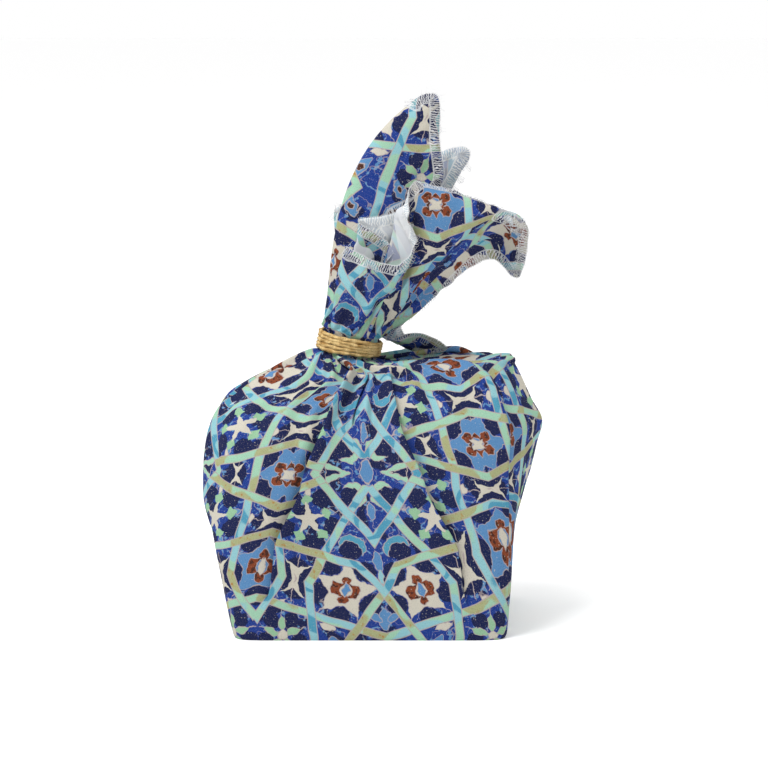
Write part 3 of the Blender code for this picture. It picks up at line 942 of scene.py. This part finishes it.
def petalGround(colour, along, off, far, size):    # dark leaves between a motif's points, parted by fine lines
    c = printColours
    valley = math.pi / printSettings["points"]
    colour = blend(colour, c["line"], off.below(0.2).least((along - far).below(size)))
    leaf = roundAt(along, off, far * math.cos(valley), far * math.sin(valley), size)
    return blend(colour, c["navy"], leaf.below(0.0))


def palmette(colour, u, v, row, tones):    # rust flower on a pointed ground
    at, degrees, outer, inner, ground, heart = row
    px, py = turned(u, v, at, degrees)
    along, off, radius, share = armsOf(px, py)
    colour = petalGround(colour, along, off, outer * 0.98, outer * 0.36)
    edge = (1.0 - share) * (1.0 - share) * (outer - inner) + inner
    colour = stamp(colour, radius - edge, printColours[ground])
    ends = roundAt(px.abs(), py, inner * 0.62, 0.0, inner * 0.27)
    sides = ((radius - inner * 0.6).abs() - inner * 0.25).most(px.abs() - inner * 0.4)
    colour = stamp(colour, ends.least(sides), tones, 0.26)
    drop = (px.abs() * 0.55 + py.abs()) - inner * 0.24
    return stamp(colour, drop, printColours[heart])


def tippedStar(colour, u, v):    # cream star, its arms ending in leaves
    along, off, radius, share = armsOf(*turned(u, v, *starRow))
    colour = petalGround(colour, along, off, 13.0, 5.0)
    body = radius - ((1.0 - share) * (1.0 - share) * 5.6 + 3.2)
    tip = off - (1.0 - (along - 10.0).abs() * 0.29) * 3.3
    bud = off - (1.0 - (along - 13.2).abs() * 0.45) * 1.4
    colour = stamp(colour, bud, printColours["blue"])
    colour = stamp(colour, tip, printColours["leaf"], 0)
    return stamp(colour, body.most(along - 8.6), printColours["cream"], 0)


def pinchedLeaf(colour, u, v, at, degrees, size):    # pointed at its four corners
    c = printColours
    px, py = turned(u, v, at, degrees)
    px, py = px.abs() * (1 / size), py.abs() * (1 / size)
    leaf = (py - px * px * 0.062 - 1.4).most(px - py * 0.5 - 6.0).most(px - 11.0)
    colour = blend(colour, c["navy"], (px * px + py * py * 1.6).root().below(11.0, 0.3))
    colour = blend(colour, c["line"], py.below(0.2).least((px - 13.0).below(0.0)))
    colour = stamp(colour, leaf * size, c["cream"], 0)
    return blend(colour, c["line"], (px * 0.2 + py).below(0.5))


def burst(colour, u, away):    # the heart of the repeat and its side arrows
    c = printColours
    colour = stamp(colour, (away - (u - 7.5) * 0.42).most(u - 20.0), c["mint"])
    colour = stamp(colour, (away - (u - 12.5) * 0.3).most(u - 20.0), c["navy"])
    return stamp(colour, (u * u + away * away * 0.3).root() - 3.2, c["blue"])


def crescent(colour, u, v, at, degrees, size, tint):
    px, py = turned(u, v, at, degrees)
    ring = ((px * px + py * py).root() - size).abs() - (py * 0.36).least(1.7)
    colour = blend(colour, printColours["navy"], roundAt(px, py, 0.0, 0.0, size - 0.6).below(0.0))
    return stamp(colour, ring, printColours[tint])


def smallLeaves(colour, u, v):    # drops, dark-hearted buds and the low rosette
    c = printColours
    for at, degrees, wide, long, tint in dropRows:
        px, py = turned(u, v, at, degrees)
        share = px * (1 / long)
        colour = stamp(colour, py.abs() - (1.0 - share * share) * wide, c[tint])
    for at, degrees in budRows:
        px, py = turned(u, v, at, degrees)
        colour = stamp(colour, py.abs() - (1.0 - px * px * 0.028) * 2.9, c["blue"])
        colour = stamp(colour, (px * px * 0.4 + py * py).root() - 1.1, c["brown"])
    along, off, radius, _ = armsOf(*turned(u, v, *rosetteRow))
    colour = petalGround(colour, along, off, 9.0, 4.0)
    colour = stamp(colour, off - (1.0 - (along - 6.0) * (along - 6.0) * 0.06) * 1.7, c["leaf"])
    return stamp(colour, radius - 2.4, c["cream"])


def interlace(colour, u, v, heart, patch, mottle):    # bands as they cross; two of them stop at the heart
    c = printColours
    side = {name: sideOf(u, v, name) for name in printBands}
    paths = (
        (side["low"].abs(), 0.1),
        (side["stem"].least(side["heel"]).abs(), 0.55),
        (side["fall"].abs(), 0.3),
        (side["post"].most(side["cross"]).abs().most(heart), 0.8),
        (side["chevron"].abs().most(heart), 0.62),
        (side["brow"].abs().most(side["chevron"]), 0.25),
        (side["rise"].most(side["sweep"]).abs(), 0.04),
    )
    for away, shift in paths:
        tone = (patch * 1.5 + shift).fold(0.5) * 2
        tint = blend(c["mint"], c["cyan"], tone.ramp(0.56, 0.62))
        tint = blend(tint, c["turquoise"], tone.ramp(0.88, 0.92))
        tint = blend(tint, c["olive"], tone.ramp(0.26, 0.2))
        tint = blend(tint, c["ochre"], mottle.ramp(0.62, 0.8) * tone.ramp(0.3, 0.2))
        colour = blend(colour, c["line"], away.below(printSettings["lineHalf"]))
        colour = blend(colour, tint, away.below(printSettings["bandHalf"]))
    return colour


def printLayers(x, y):    # x, y in millimetres on the flat cloth
    c = printColours
    half, low, high = (printSettings[key] for key in ("halfWidth", "low", "high"))
    wander, wobble = printSettings["wander"], printSettings["wobble"]
    noise = {name: noiseField(x, y, 1 / size, seed) for name, (size, seed) in printNoises.items()}
    lineU = (x + (noise["strayX"] - 0.5) * wander).fold(half)
    lineV = (y + (noise["strayY"] - 0.5) * wander - low).fold(high - low) + low
    u = lineU + (noise["wobbleU"] - 0.5) * wobble
    v = lineV + (noise["wobbleV"] - 0.5) * wobble
    away = (v - high).abs()

    vine = (noise["vine"] - 0.5).abs()
    colour = blend(c["navy"], c["cobalt"], noise["broad"].ramp(0.4, 0.45))
    colour = blend(colour, c["blue"], noise["buds"].ramp(0.57, 0.6) * vine.ramp(0.07, 0.06))
    colour = blend(colour, c["line"], vine.below(0.009, 0.006) * 0.55)

    rusts = blend(c["rust"], c["brown"], noise["mottle"].ramp(0.5, 0.6))
    for row in palmetteRows:
        colour = palmette(colour, u, v, row, rusts)
    colour = tippedStar(colour, u, v)
    for row in pinchedRows:
        colour = pinchedLeaf(colour, u, v, *row)
    colour = burst(colour, u, away)
    for row in crescentRows:
        colour = crescent(colour, u, v, *row)
    colour = smallLeaves(colour, u, v)
    heart = 9.0 - (u * u + away * away).root()
    return interlace(colour, lineU, lineV, heart, noise["patch"], noise["mottle"])


def noiseField(x, y, scale, seed):
    spot = Field.node("ShaderNodeCombineXYZ", None, in0=x * scale + seed * 7.3, in1=y * scale + seed * 3.1)
    made = Field.node("ShaderNodeTexNoise", {"noise_dimensions": "2D"}, Vector=spot.outputs[0], Scale=1.0,
                      Detail=1.0)
    return Field(made.outputs[0])


def hemThreads(side):    # overlock threads crossing the hem: how much of each point they hide
    where = Field.node("ShaderNodeUVMap", {"uv_map": "hem"})
    split = Field.node("ShaderNodeSeparateXYZ", None, in0=where.outputs[0])
    along, away = Field(split.outputs[0]), Field(split.outputs[1])
    stray = noiseField(along, away, 0.5, side * 9.0) * 1.6
    slant = (along + away * 0.14 * side + stray).fold(0.62)
    threads = slant.below(0.24, 0.1).least((away - 5.2 + stray * 0.5).below(0.0))
    line = ((away - 4.9).abs()).below(0.35)
    return threads, line, away


def printedCloth():
    where = Field.node("ShaderNodeUVMap", {"uv_map": "print"})
    split = Field.node("ShaderNodeSeparateXYZ", None, in0=where.outputs[0])
    x, y = Field(split.outputs[0]), Field(split.outputs[1])
    colour = printLayers(x, y)
    grain = noiseField(x, y, 2.2, 61.0)
    specks = noiseField(x, y, 1.1, 73.0)
    colour = blend(colour, printColours["cream"], specks.ramp(0.74, 0.78) * 0.6)
    colour = blend(colour, printColours["line"], grain.ramp(0.52, 0.8) * 0.14)
    colour = blend(colour, printColours["deep"], grain.ramp(0.48, 0.2) * 0.3)
    return colour, x, y


weaveSettings = {
    "pace": 15.7,             # a thread each way every 0.4 mm
    "lift": 0.00012,
    "strength": 0.5,
}


def weave(shader, x, y, height):
    pace = weaveSettings["pace"]
    over = (x * pace).sin() * (y * pace).sin()
    bump = Field.node("ShaderNodeBump", None, Height=over * 0.5 + height, Distance=weaveSettings["lift"],
                      Strength=weaveSettings["strength"])
    Field.tree.links.new(bump.outputs[0], shader.inputs["Normal"])


def printMaterial():
    material, shader = newMaterial("printed_cotton")
    colour, x, y = printedCloth()
    threads, line, away = hemThreads(1.0)
    # painted shade beneath the overlock threads along the hem band
    colour = blend(colour, printColours["deep"], away.ramp(5.6, 4.8) * 0.2)
    colour = blend(colour, "#d9dadb", threads.most(line * 0.7) * 0.85)
    Field.tree.links.new(colour, shader.inputs["Base Color"])
    weave(shader, x, y, threads * 2.0)
    shader.inputs["Roughness"].default_value = 0.85
    shader.inputs["Specular IOR Level"].default_value = 0.05
    return material


def reverseMaterial():
    material, shader = newMaterial("cotton_reverse")
    colour, x, y = printedCloth()
    threads, line, away = hemThreads(-1.0)
    where = Field.node("ShaderNodeUVMap", {"uv_map": "hem"})
    along = Field(Field.node("ShaderNodeSeparateXYZ", None, in0=where.outputs[0]).outputs[0])
    start, end = (alongHem(turn) for turn in hemSettings["thinCorner"])
    thin = along.ramp(start - 3, start + 3) * along.ramp(end + 3, end - 3)    # painted light shining through the cloth at the sunlit back corner
    colour = blend("#d2d5d8", colour, thin * 0.4 + 0.13)
    colour = blend(colour, "#9fb0bd", away.ramp(5.6, 4.8) * 0.5)
    colour = blend(colour, "#e2e2e0", threads.most(line * 0.8))
    Field.tree.links.new(colour, shader.inputs["Base Color"])
    weave(shader, x, y, threads * 2.0)
    shader.inputs["Roughness"].default_value = 0.9
    shader.inputs["Specular IOR Level"].default_value = 0.05
    return material


def twineMaterial():
    material, shader = newMaterial("jute_fibre")
    where = Field.node("ShaderNodeTexCoord")
    coarse = Field.node("ShaderNodeTexNoise", None, Vector=where.outputs["Object"], Scale=260.0, Detail=2.0)
    fine = Field.node("ShaderNodeTexNoise", None, Vector=where.outputs["Object"], Scale=1500.0, Detail=2.0)
    coarse, fine = Field(coarse.outputs[0]), Field(fine.outputs[0])
    colour = blend("#a5804a", "#d9bd85", coarse.ramp(0.35, 0.62))
    colour = blend(colour, "#6a4a22", fine.ramp(0.56, 0.7) * 0.7)
    Field.tree.links.new(colour, shader.inputs["Base Color"])
    bump = Field.node("ShaderNodeBump", None, Height=fine, Distance=0.0004, Strength=0.7)
    Field.tree.links.new(bump.outputs[0], shader.inputs["Normal"])
    shader.inputs["Roughness"].default_value = 0.9
    shader.inputs["Specular IOR Level"].default_value = 0.1
    return material


def makeTwine():    # one strand of two plies, wound round the neck
    settings = tieSettings
    turns, width = settings["turns"], settings["twineWidth"]
    stepsRound, profile = 150, 10
    count = stepsRound * turns
    points, faces = [], []
    for step in range(count + 1):
        share = step / stepsRound
        turn = math.tau * share + 2.2
        squeeze = 1 - (1 - settings["narrowSide"]) * 0.5 * (1 + math.cos(turn))
        rise = (share - 0.5 * turns) * width * squeeze * 0.98
        rise += (0.2 * math.sin(2.3 * turn + 1) + 0.14 * math.sin(5.7 * turn)) * squeeze
        swell = 1 + 0.07 * math.sin(3.1 * turn + 2) + 0.05 * math.sin(8.3 * turn)
        ends = min(1.0, step / 14, (count - step) / 14)
        for index in range(profile):
            angle = math.tau * index / profile
            ply = 0.5 * width * swell * (0.98 + 0.16 * math.cos(2 * angle - 0.62 * step))
            out = 0.55 + 0.5 * width - 1.3 * (1 - ends) + ply * math.cos(angle)
            points.append((turn, rise + ply * 0.98 * math.sin(angle), out))
    points = np.array(points)
    places = neckRing(points[:, 0], 0.0, points[:, 2])
    lean = math.radians(settings["leanDegrees"])
    places = (places + points[:, 1][:, None] * np.array([math.sin(lean), 0, math.cos(lean)])) * mm
    for step in range(count):
        for index in range(profile):
            a, b = step * profile + index, step * profile + (index + 1) % profile
            faces.append((a, b, b + profile, a + profile))
    faces.append(tuple(range(profile)))
    faces.append(tuple(count * profile + index for index in reversed(range(profile))))
    mesh = bpy.data.meshes.new("twine_band")
    mesh.from_pydata(places.tolist(), [], faces)
    form = bmesh.new()
    form.from_mesh(mesh)
    bmesh.ops.recalc_face_normals(form, faces=form.faces[:])
    form.to_mesh(mesh)
    form.free()
    mesh.shade_smooth()
    piece = bpy.data.objects.new("twine_band", mesh)
    bpy.context.scene.collection.objects.link(piece)
    return piece


def hemRows(step):    # places, directions and faces along the hem
    closed, along = closedHem()
    at = np.arange(0, along[-1], step)
    places = np.stack([np.interp(at, along, closed[:, axis]) for axis in range(3)], -1)
    upward = closed - np.concatenate([grid[-3], grid[-3][:1]])
    upward = np.stack([np.interp(at, along, upward[:, axis]) for axis in range(3)], -1)
    around = unit(np.roll(places, -1, axis=0) - np.roll(places, 1, axis=0))
    turns = np.interp(at, along, np.append(flaredTurns, flaredTurns[0] + math.tau))
    return places, around, unit(np.cross(around, upward)), np.degrees(turns) % 360


def pointMesh(name, places, **directions):
    mesh = bpy.data.meshes.new(name)
    mesh.from_pydata((places * mm).tolist(), [], [])
    for key, values in directions.items():
        layer = mesh.attributes.new(key, "FLOAT_VECTOR", "POINT")
        layer.data.foreach_set("vector", np.ascontiguousarray(values, np.float32).ravel())
    piece = bpy.data.objects.new(name, mesh)
    bpy.context.scene.collection.objects.link(piece)
    return piece


def newGroup(name, **inputs):    # a node group with a geometry in and out, a material, and named numbers
    group = bpy.data.node_groups.new(name, "GeometryNodeTree")
    group.interface.new_socket("Geometry", in_out="INPUT", socket_type="NodeSocketGeometry")
    group.interface.new_socket("Geometry", in_out="OUTPUT", socket_type="NodeSocketGeometry")
    group.interface.new_socket("Material", in_out="INPUT", socket_type="NodeSocketMaterial")
    for key, kind in inputs.items():
        group.interface.new_socket(key, in_out="INPUT", socket_type=kind)
    Field.tree = group
    return group, group.nodes.new("NodeGroupInput"), group.nodes.new("NodeGroupOutput")


def thread(bends, radius):    # bends: start, its handle, the end's handle and the end of each curve
    join = Field.tree.nodes.new("GeometryNodeJoinGeometry")
    for start, out, back, end in bends:
        bend = Field.node("GeometryNodeCurvePrimitiveBezierSegment", {"mode": "POSITION"}, Resolution=5,
                          **{"Start": start, "Start Handle": out, "End Handle": back, "End": end})
        Field.tree.links.new(bend.outputs[0], join.inputs[0])
    ring = Field.node("GeometryNodeCurvePrimitiveCircle", {"mode": "RADIUS"}, Resolution=3, Radius=radius)
    return Field.node("GeometryNodeCurveToMesh", None, Curve=join.outputs[0],
                      **{"Profile Curve": ring.outputs[0], "Fill Caps": True}).outputs[0]


def scatter(group, source, sink, points, instance, rotation, seed, least, most):
    scale = Field.node("FunctionNodeRandomValue", {"data_type": "FLOAT"}, in2=least, in3=most, Seed=seed)
    placed = Field.node("GeometryNodeInstanceOnPoints", None, Points=points, Instance=instance,
                        Rotation=rotation, Scale=scale.outputs[1])
    real = Field.node("GeometryNodeRealizeInstances", None, Geometry=placed.outputs[0])
    dressed = Field.node("GeometryNodeSetMaterial", None, Geometry=real.outputs[0],
                         Material=source.outputs["Material"])
    group.links.new(dressed.outputs[0], sink.inputs[0])


def swung(source, base):    # a rotation with a random swing about each axis
    reach = Field.node("ShaderNodeCombineXYZ", None, in0=source.outputs["Swing"], in1=source.outputs["Swing"],
                       in2=source.outputs["Swing"])
    back = Field.node("ShaderNodeVectorMath", {"operation": "SCALE"}, in0=reach.outputs[0], Scale=-1.0)
    swing = Field.node("FunctionNodeRandomValue", {"data_type": "FLOAT_VECTOR"}, Min=back.outputs[0],
                       Max=reach.outputs[0], Seed=source.outputs["Seed"])
    turn = Field.node("FunctionNodeEulerToRotation", None, in0=swing.outputs[0])
    return Field.node("FunctionNodeRotateRotation", {"rotation_space": "LOCAL"},
                      **{"Rotation": base, "Rotate By": turn.outputs[0]}).outputs[0]


def axesOf(primary, secondary):
    faces, sides = (Field.node("GeometryNodeInputNamedAttribute", {"data_type": "FLOAT_VECTOR"}, Name=name)
                    for name in (primary, secondary))
    return Field.node("FunctionNodeAxesToRotation", {"primary_axis": "Z", "secondary_axis": "X"},
                      **{"Primary Axis": faces.outputs[0], "Secondary Axis": sides.outputs[0]}).outputs[0]


def applied(piece, group, **values):
    tool = piece.modifiers.new("grown", "NODES")
    tool.node_group = group
    for item in group.interface.items_tree:
        if item.in_out == "INPUT" and item.name in values:
            tool[item.identifier] = values[item.name]
    grown = piece.evaluated_get(bpy.context.evaluated_depsgraph_get())
    mesh = bpy.data.meshes.new_from_object(grown)
    piece.modifiers.remove(tool)
    piece.data = mesh
    print(piece.name, "faces", len(mesh.polygons))
    return piece


stitchSettings = {
    "step": 1.25,
    "reach": 4.9,             # from the hem to the needle line
    "threadRadius": 0.11,
    "seed": 4,
    "swing": 0.09,
}


def makeStitches(material):
    settings = stitchSettings
    group, source, sink = newGroup("overlock", Seed="NodeSocketInt", Swing="NodeSocketFloat")
    reach, half = settings["reach"] * mm, 0.5 * settings["step"] * mm
    low = -(clothSettings["thickness"] + 0.12) * mm
    top = 0.12 * mm
    turn, edge = (0.4 * half, 0.3 * mm, -top), 0.22 * mm
    bends = [
        # over the face, back under it, along the cut edge, and the needle thread
        ((-half, -reach, top), (-half, -0.6 * reach, 2 * top), (0.2 * half, 0, 2 * top), turn),
        (turn, (0.4 * half, 0, 1.4 * low), (half, -0.6 * reach, 1.3 * low), (half, -reach, low)),
        ((-half, edge, -top), (-0.4 * half, 0.6 * mm, top), (0.4 * half, 0.6 * mm, top), (half, edge, -top)),
        ((-0.9 * half, -reach, top), (-0.4 * half, -reach, 1.8 * top), (0.4 * half, -reach, 1.8 * top),
         (0.9 * half, -reach, top)),
    ]
    shape = thread(bends, settings["threadRadius"] * mm)
    scatter(group, source, sink, source.outputs[0], shape, swung(source, axesOf("face", "along")),
            source.outputs["Seed"], 0.9, 1.08)
    places, around, faces, _ = hemRows(settings["step"])
    piece = pointMesh("hem_stitches", places, along=around, face=faces)
    return applied(piece, group, Material=material, Seed=settings["seed"], Swing=settings["swing"])


fraySettings = {
    "seed": 11,
    "swing": 0.9,
    "threadRadius": 0.07,
    "length": 4.2,
    "stretches": ((80.0, 108.0, 1.0), (128.0, 166.0, 0.8), (196.0, 214.0, 0.3), (274.0, 300.0, 0.35),
                  (340.0, 358.0, 0.7)),    # turns from, to, and how thick the fray is
    "rest": 0.12,
    "none": (18.0, 40.0),     # turns without any, on the hanging leaf
    "step": 0.9,
}


def makeFray(material):
    settings = fraySettings
    group, source, sink = newGroup("fray", Seed="NodeSocketInt", Swing="NodeSocketFloat")
    far = settings["length"] * mm
    bends = [((0, -0.4 * mm, 0), (0, 0.4 * far, 0.1 * far), (0.5 * far, 0.5 * far, 0.3 * far),
              (0.35 * far, far, 0))]
    shape = thread(bends, settings["threadRadius"] * mm)
    scatter(group, source, sink, source.outputs[0], shape, swung(source, axesOf("face", "along")),
            source.outputs["Seed"], 0.3, 1.1)
    places, around, faces, turns = hemRows(settings["step"])
    first, last = settings["none"]
    chance = np.where((turns > first) & (turns < last), 0.0, settings["rest"])
    for low, high, share in settings["stretches"]:
        chance[(turns > low) & (turns < high)] = share
    kept = np.random.default_rng(settings["seed"]).random(len(places)) < chance
    piece = pointMesh("hem_fray", places[kept], along=around[kept], face=faces[kept])
    return applied(piece, group, Material=material, Seed=settings["seed"], Swing=settings["swing"])


fuzzSettings = {
    "seed": 23,
    "swing": 1.1,
    "density": 260000.0,      # fibres for each square metre of strand
    "threadRadius": 0.035,
    "length": 2.4,
}


def makeFuzz(twine, material):
    settings = fuzzSettings
    group, source, sink = newGroup("twine_fuzz", Seed="NodeSocketInt", Swing="NodeSocketFloat",
                                   Density="NodeSocketFloat")
    spots = Field.node("GeometryNodeDistributePointsOnFaces", None, Mesh=source.outputs[0],
                       Density=source.outputs["Density"], Seed=source.outputs["Seed"])
    far = settings["length"] * mm
    bends = [((0, 0, -0.1 * mm), (0.1 * far, 0, 0.3 * far), (0.5 * far, 0.1 * far, 0.35 * far),
              (far, 0, 0.3 * far))]
    shape = thread(bends, settings["threadRadius"] * mm)
    scatter(group, source, sink, spots.outputs["Points"], shape, swung(source, spots.outputs["Rotation"]),
            source.outputs["Seed"], 0.3, 1.0)
    piece = bpy.data.objects.new("twine_fuzz", twine.data.copy())
    bpy.context.scene.collection.objects.link(piece)
    return applied(piece, group, Material=material, Seed=settings["seed"], Swing=settings["swing"],
                   Density=settings["density"])


def threadMaterial(name, code):
    material, shader = newMaterial(name)
    where = Field.node("ShaderNodeTexCoord")
    noise = Field.node("ShaderNodeTexNoise", None, Vector=where.outputs["Object"], Scale=900.0, Detail=1.0)
    colour = blend(code, printColours["line"], Field(noise.outputs[0]).ramp(0.5, 0.8) * 0.4)
    Field.tree.links.new(colour, shader.inputs["Base Color"])
    shader.inputs["Roughness"].default_value = 0.8
    shader.inputs["Specular IOR Level"].default_value = 0.1
    return material


cloth = makeCloth()
cloth.data.materials.append(printMaterial())
cloth.data.materials.append(reverseMaterial())
wall = cloth.modifiers.new("thickness", "SOLIDIFY")
wall.thickness = clothSettings["thickness"] * mm
wall.offset = -1
wall.material_offset = 1
wall.material_offset_rim = 1
print("cloth faces", len(cloth.data.polygons))

jute = twineMaterial()
twine = makeTwine()
twine.data.materials.append(jute)
print("twine faces", len(twine.data.polygons))
hemThread = threadMaterial("hem_thread", "#d6d7d8")
stitches = makeStitches(hemThread)
fray = makeFray(hemThread)
fuzz = makeFuzz(twine, jute)

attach(cloth, "root")
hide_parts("cloth")
for piece in (stitches, fray):
    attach(piece, "root")
    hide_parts("cloth")
for piece in (twine, fuzz):
    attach(piece, "root")
    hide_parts("twine")


viewSettings = {
    "elevation": 9.0,
    "lens": 150.0,
    "frameWidth": 0.384,
    "aim": (0.0045, -0.054, 0.0),
    "rise": 0.1285,
}


def makeCamera():
    tilt = math.radians(viewSettings["elevation"])
    data = bpy.data.cameras.new("camera")
    data.lens, data.sensor_width = viewSettings["lens"], 36.0
    camera = bpy.data.objects.new("camera", data)
    bpy.context.scene.collection.objects.link(camera)
    up = Vector((0, math.sin(tilt), math.cos(tilt)))
    back = Vector((0, -math.cos(tilt), math.sin(tilt)))
    distance = viewSettings["frameWidth"] * data.lens / data.sensor_width
    camera.location = Vector(viewSettings["aim"]) + up * viewSettings["rise"] + back * distance
    camera.rotation_euler = (math.pi / 2 - tilt, 0, 0)
    bpy.context.scene.camera = camera


studioSettings = {
    "floorHalf": 6.0,
    "floorTone": 0.93,
    "floorGlow": 0.16,
    "skyBack": 0.76,          # brightness of the sky behind and above
    "skyLeft": 0.2,           # and more of it on the left
    "skyLeast": 0.22,
    "lamps": (
        # name place size watts
        ("key", (-0.55, -0.55, 1.6), 0.6, 21.0),
        ("fill", (1.3, -1.4, 0.7), 1.4, 2.0),
    ),
    "lampAim": (0.0, 0.0, 0.1),
}


def makeFloor():
    half, tone = studioSettings["floorHalf"], studioSettings["floorTone"]
    mesh = bpy.data.meshes.new("floor")
    corners = [(-half, -half, 0), (half, -half, 0), (half, half, 0), (-half, half, 0)]
    mesh.from_pydata(corners, [], [(0, 1, 2, 3)])
    floor = bpy.data.objects.new("floor", mesh)
    bpy.context.scene.collection.objects.link(floor)
    material, shader = newMaterial("pale_floor")
    shader.inputs["Base Color"].default_value = (tone, tone, tone, 1)
    shader.inputs["Emission Color"].default_value = (1, 1, 1, 1)
    shader.inputs["Emission Strength"].default_value = studioSettings["floorGlow"]
    shader.inputs["Roughness"].default_value = 0.9
    mesh.materials.append(material)


def makeSky():    # white behind and above, darker towards the front
    settings = studioSettings
    world = bpy.data.worlds.new("studio")
    bpy.context.scene.world = world
    world.use_nodes = True
    Field.tree = world.node_tree
    where = Field.node("ShaderNodeTexCoord")
    split = Field.node("ShaderNodeSeparateXYZ", None, in0=where.outputs["Generated"])
    across, deep, high = (Field(socket) for socket in split.outputs)
    light = deep.ramp(-0.1, 0.4).most(high.ramp(0.3, 0.8)) * settings["skyBack"]
    light = light + across.ramp(0.6, -0.8) * settings["skyLeft"] + settings["skyLeast"]
    background = world.node_tree.nodes["Background"]
    background.inputs[0].default_value = (1, 1, 1, 1)
    Field.tree.links.new(light.least(1.0).socket, background.inputs[1])


def makeLamps():
    for name, place, size, watts in studioSettings["lamps"]:
        light = bpy.data.lights.new(name, "AREA")
        light.size, light.energy = size, watts
        lamp = bpy.data.objects.new(name, light)
        bpy.context.scene.collection.objects.link(lamp)
        lamp.location = place
        aim = Vector(studioSettings["lampAim"]) - Vector(place)
        lamp.rotation_euler = aim.to_track_quat("-Z", "Y").to_euler()


makeCamera()
makeFloor()
makeSky()
makeLamps()
bpy.context.scene.view_settings.view_transform = "Standard"
print("camera and studio set")
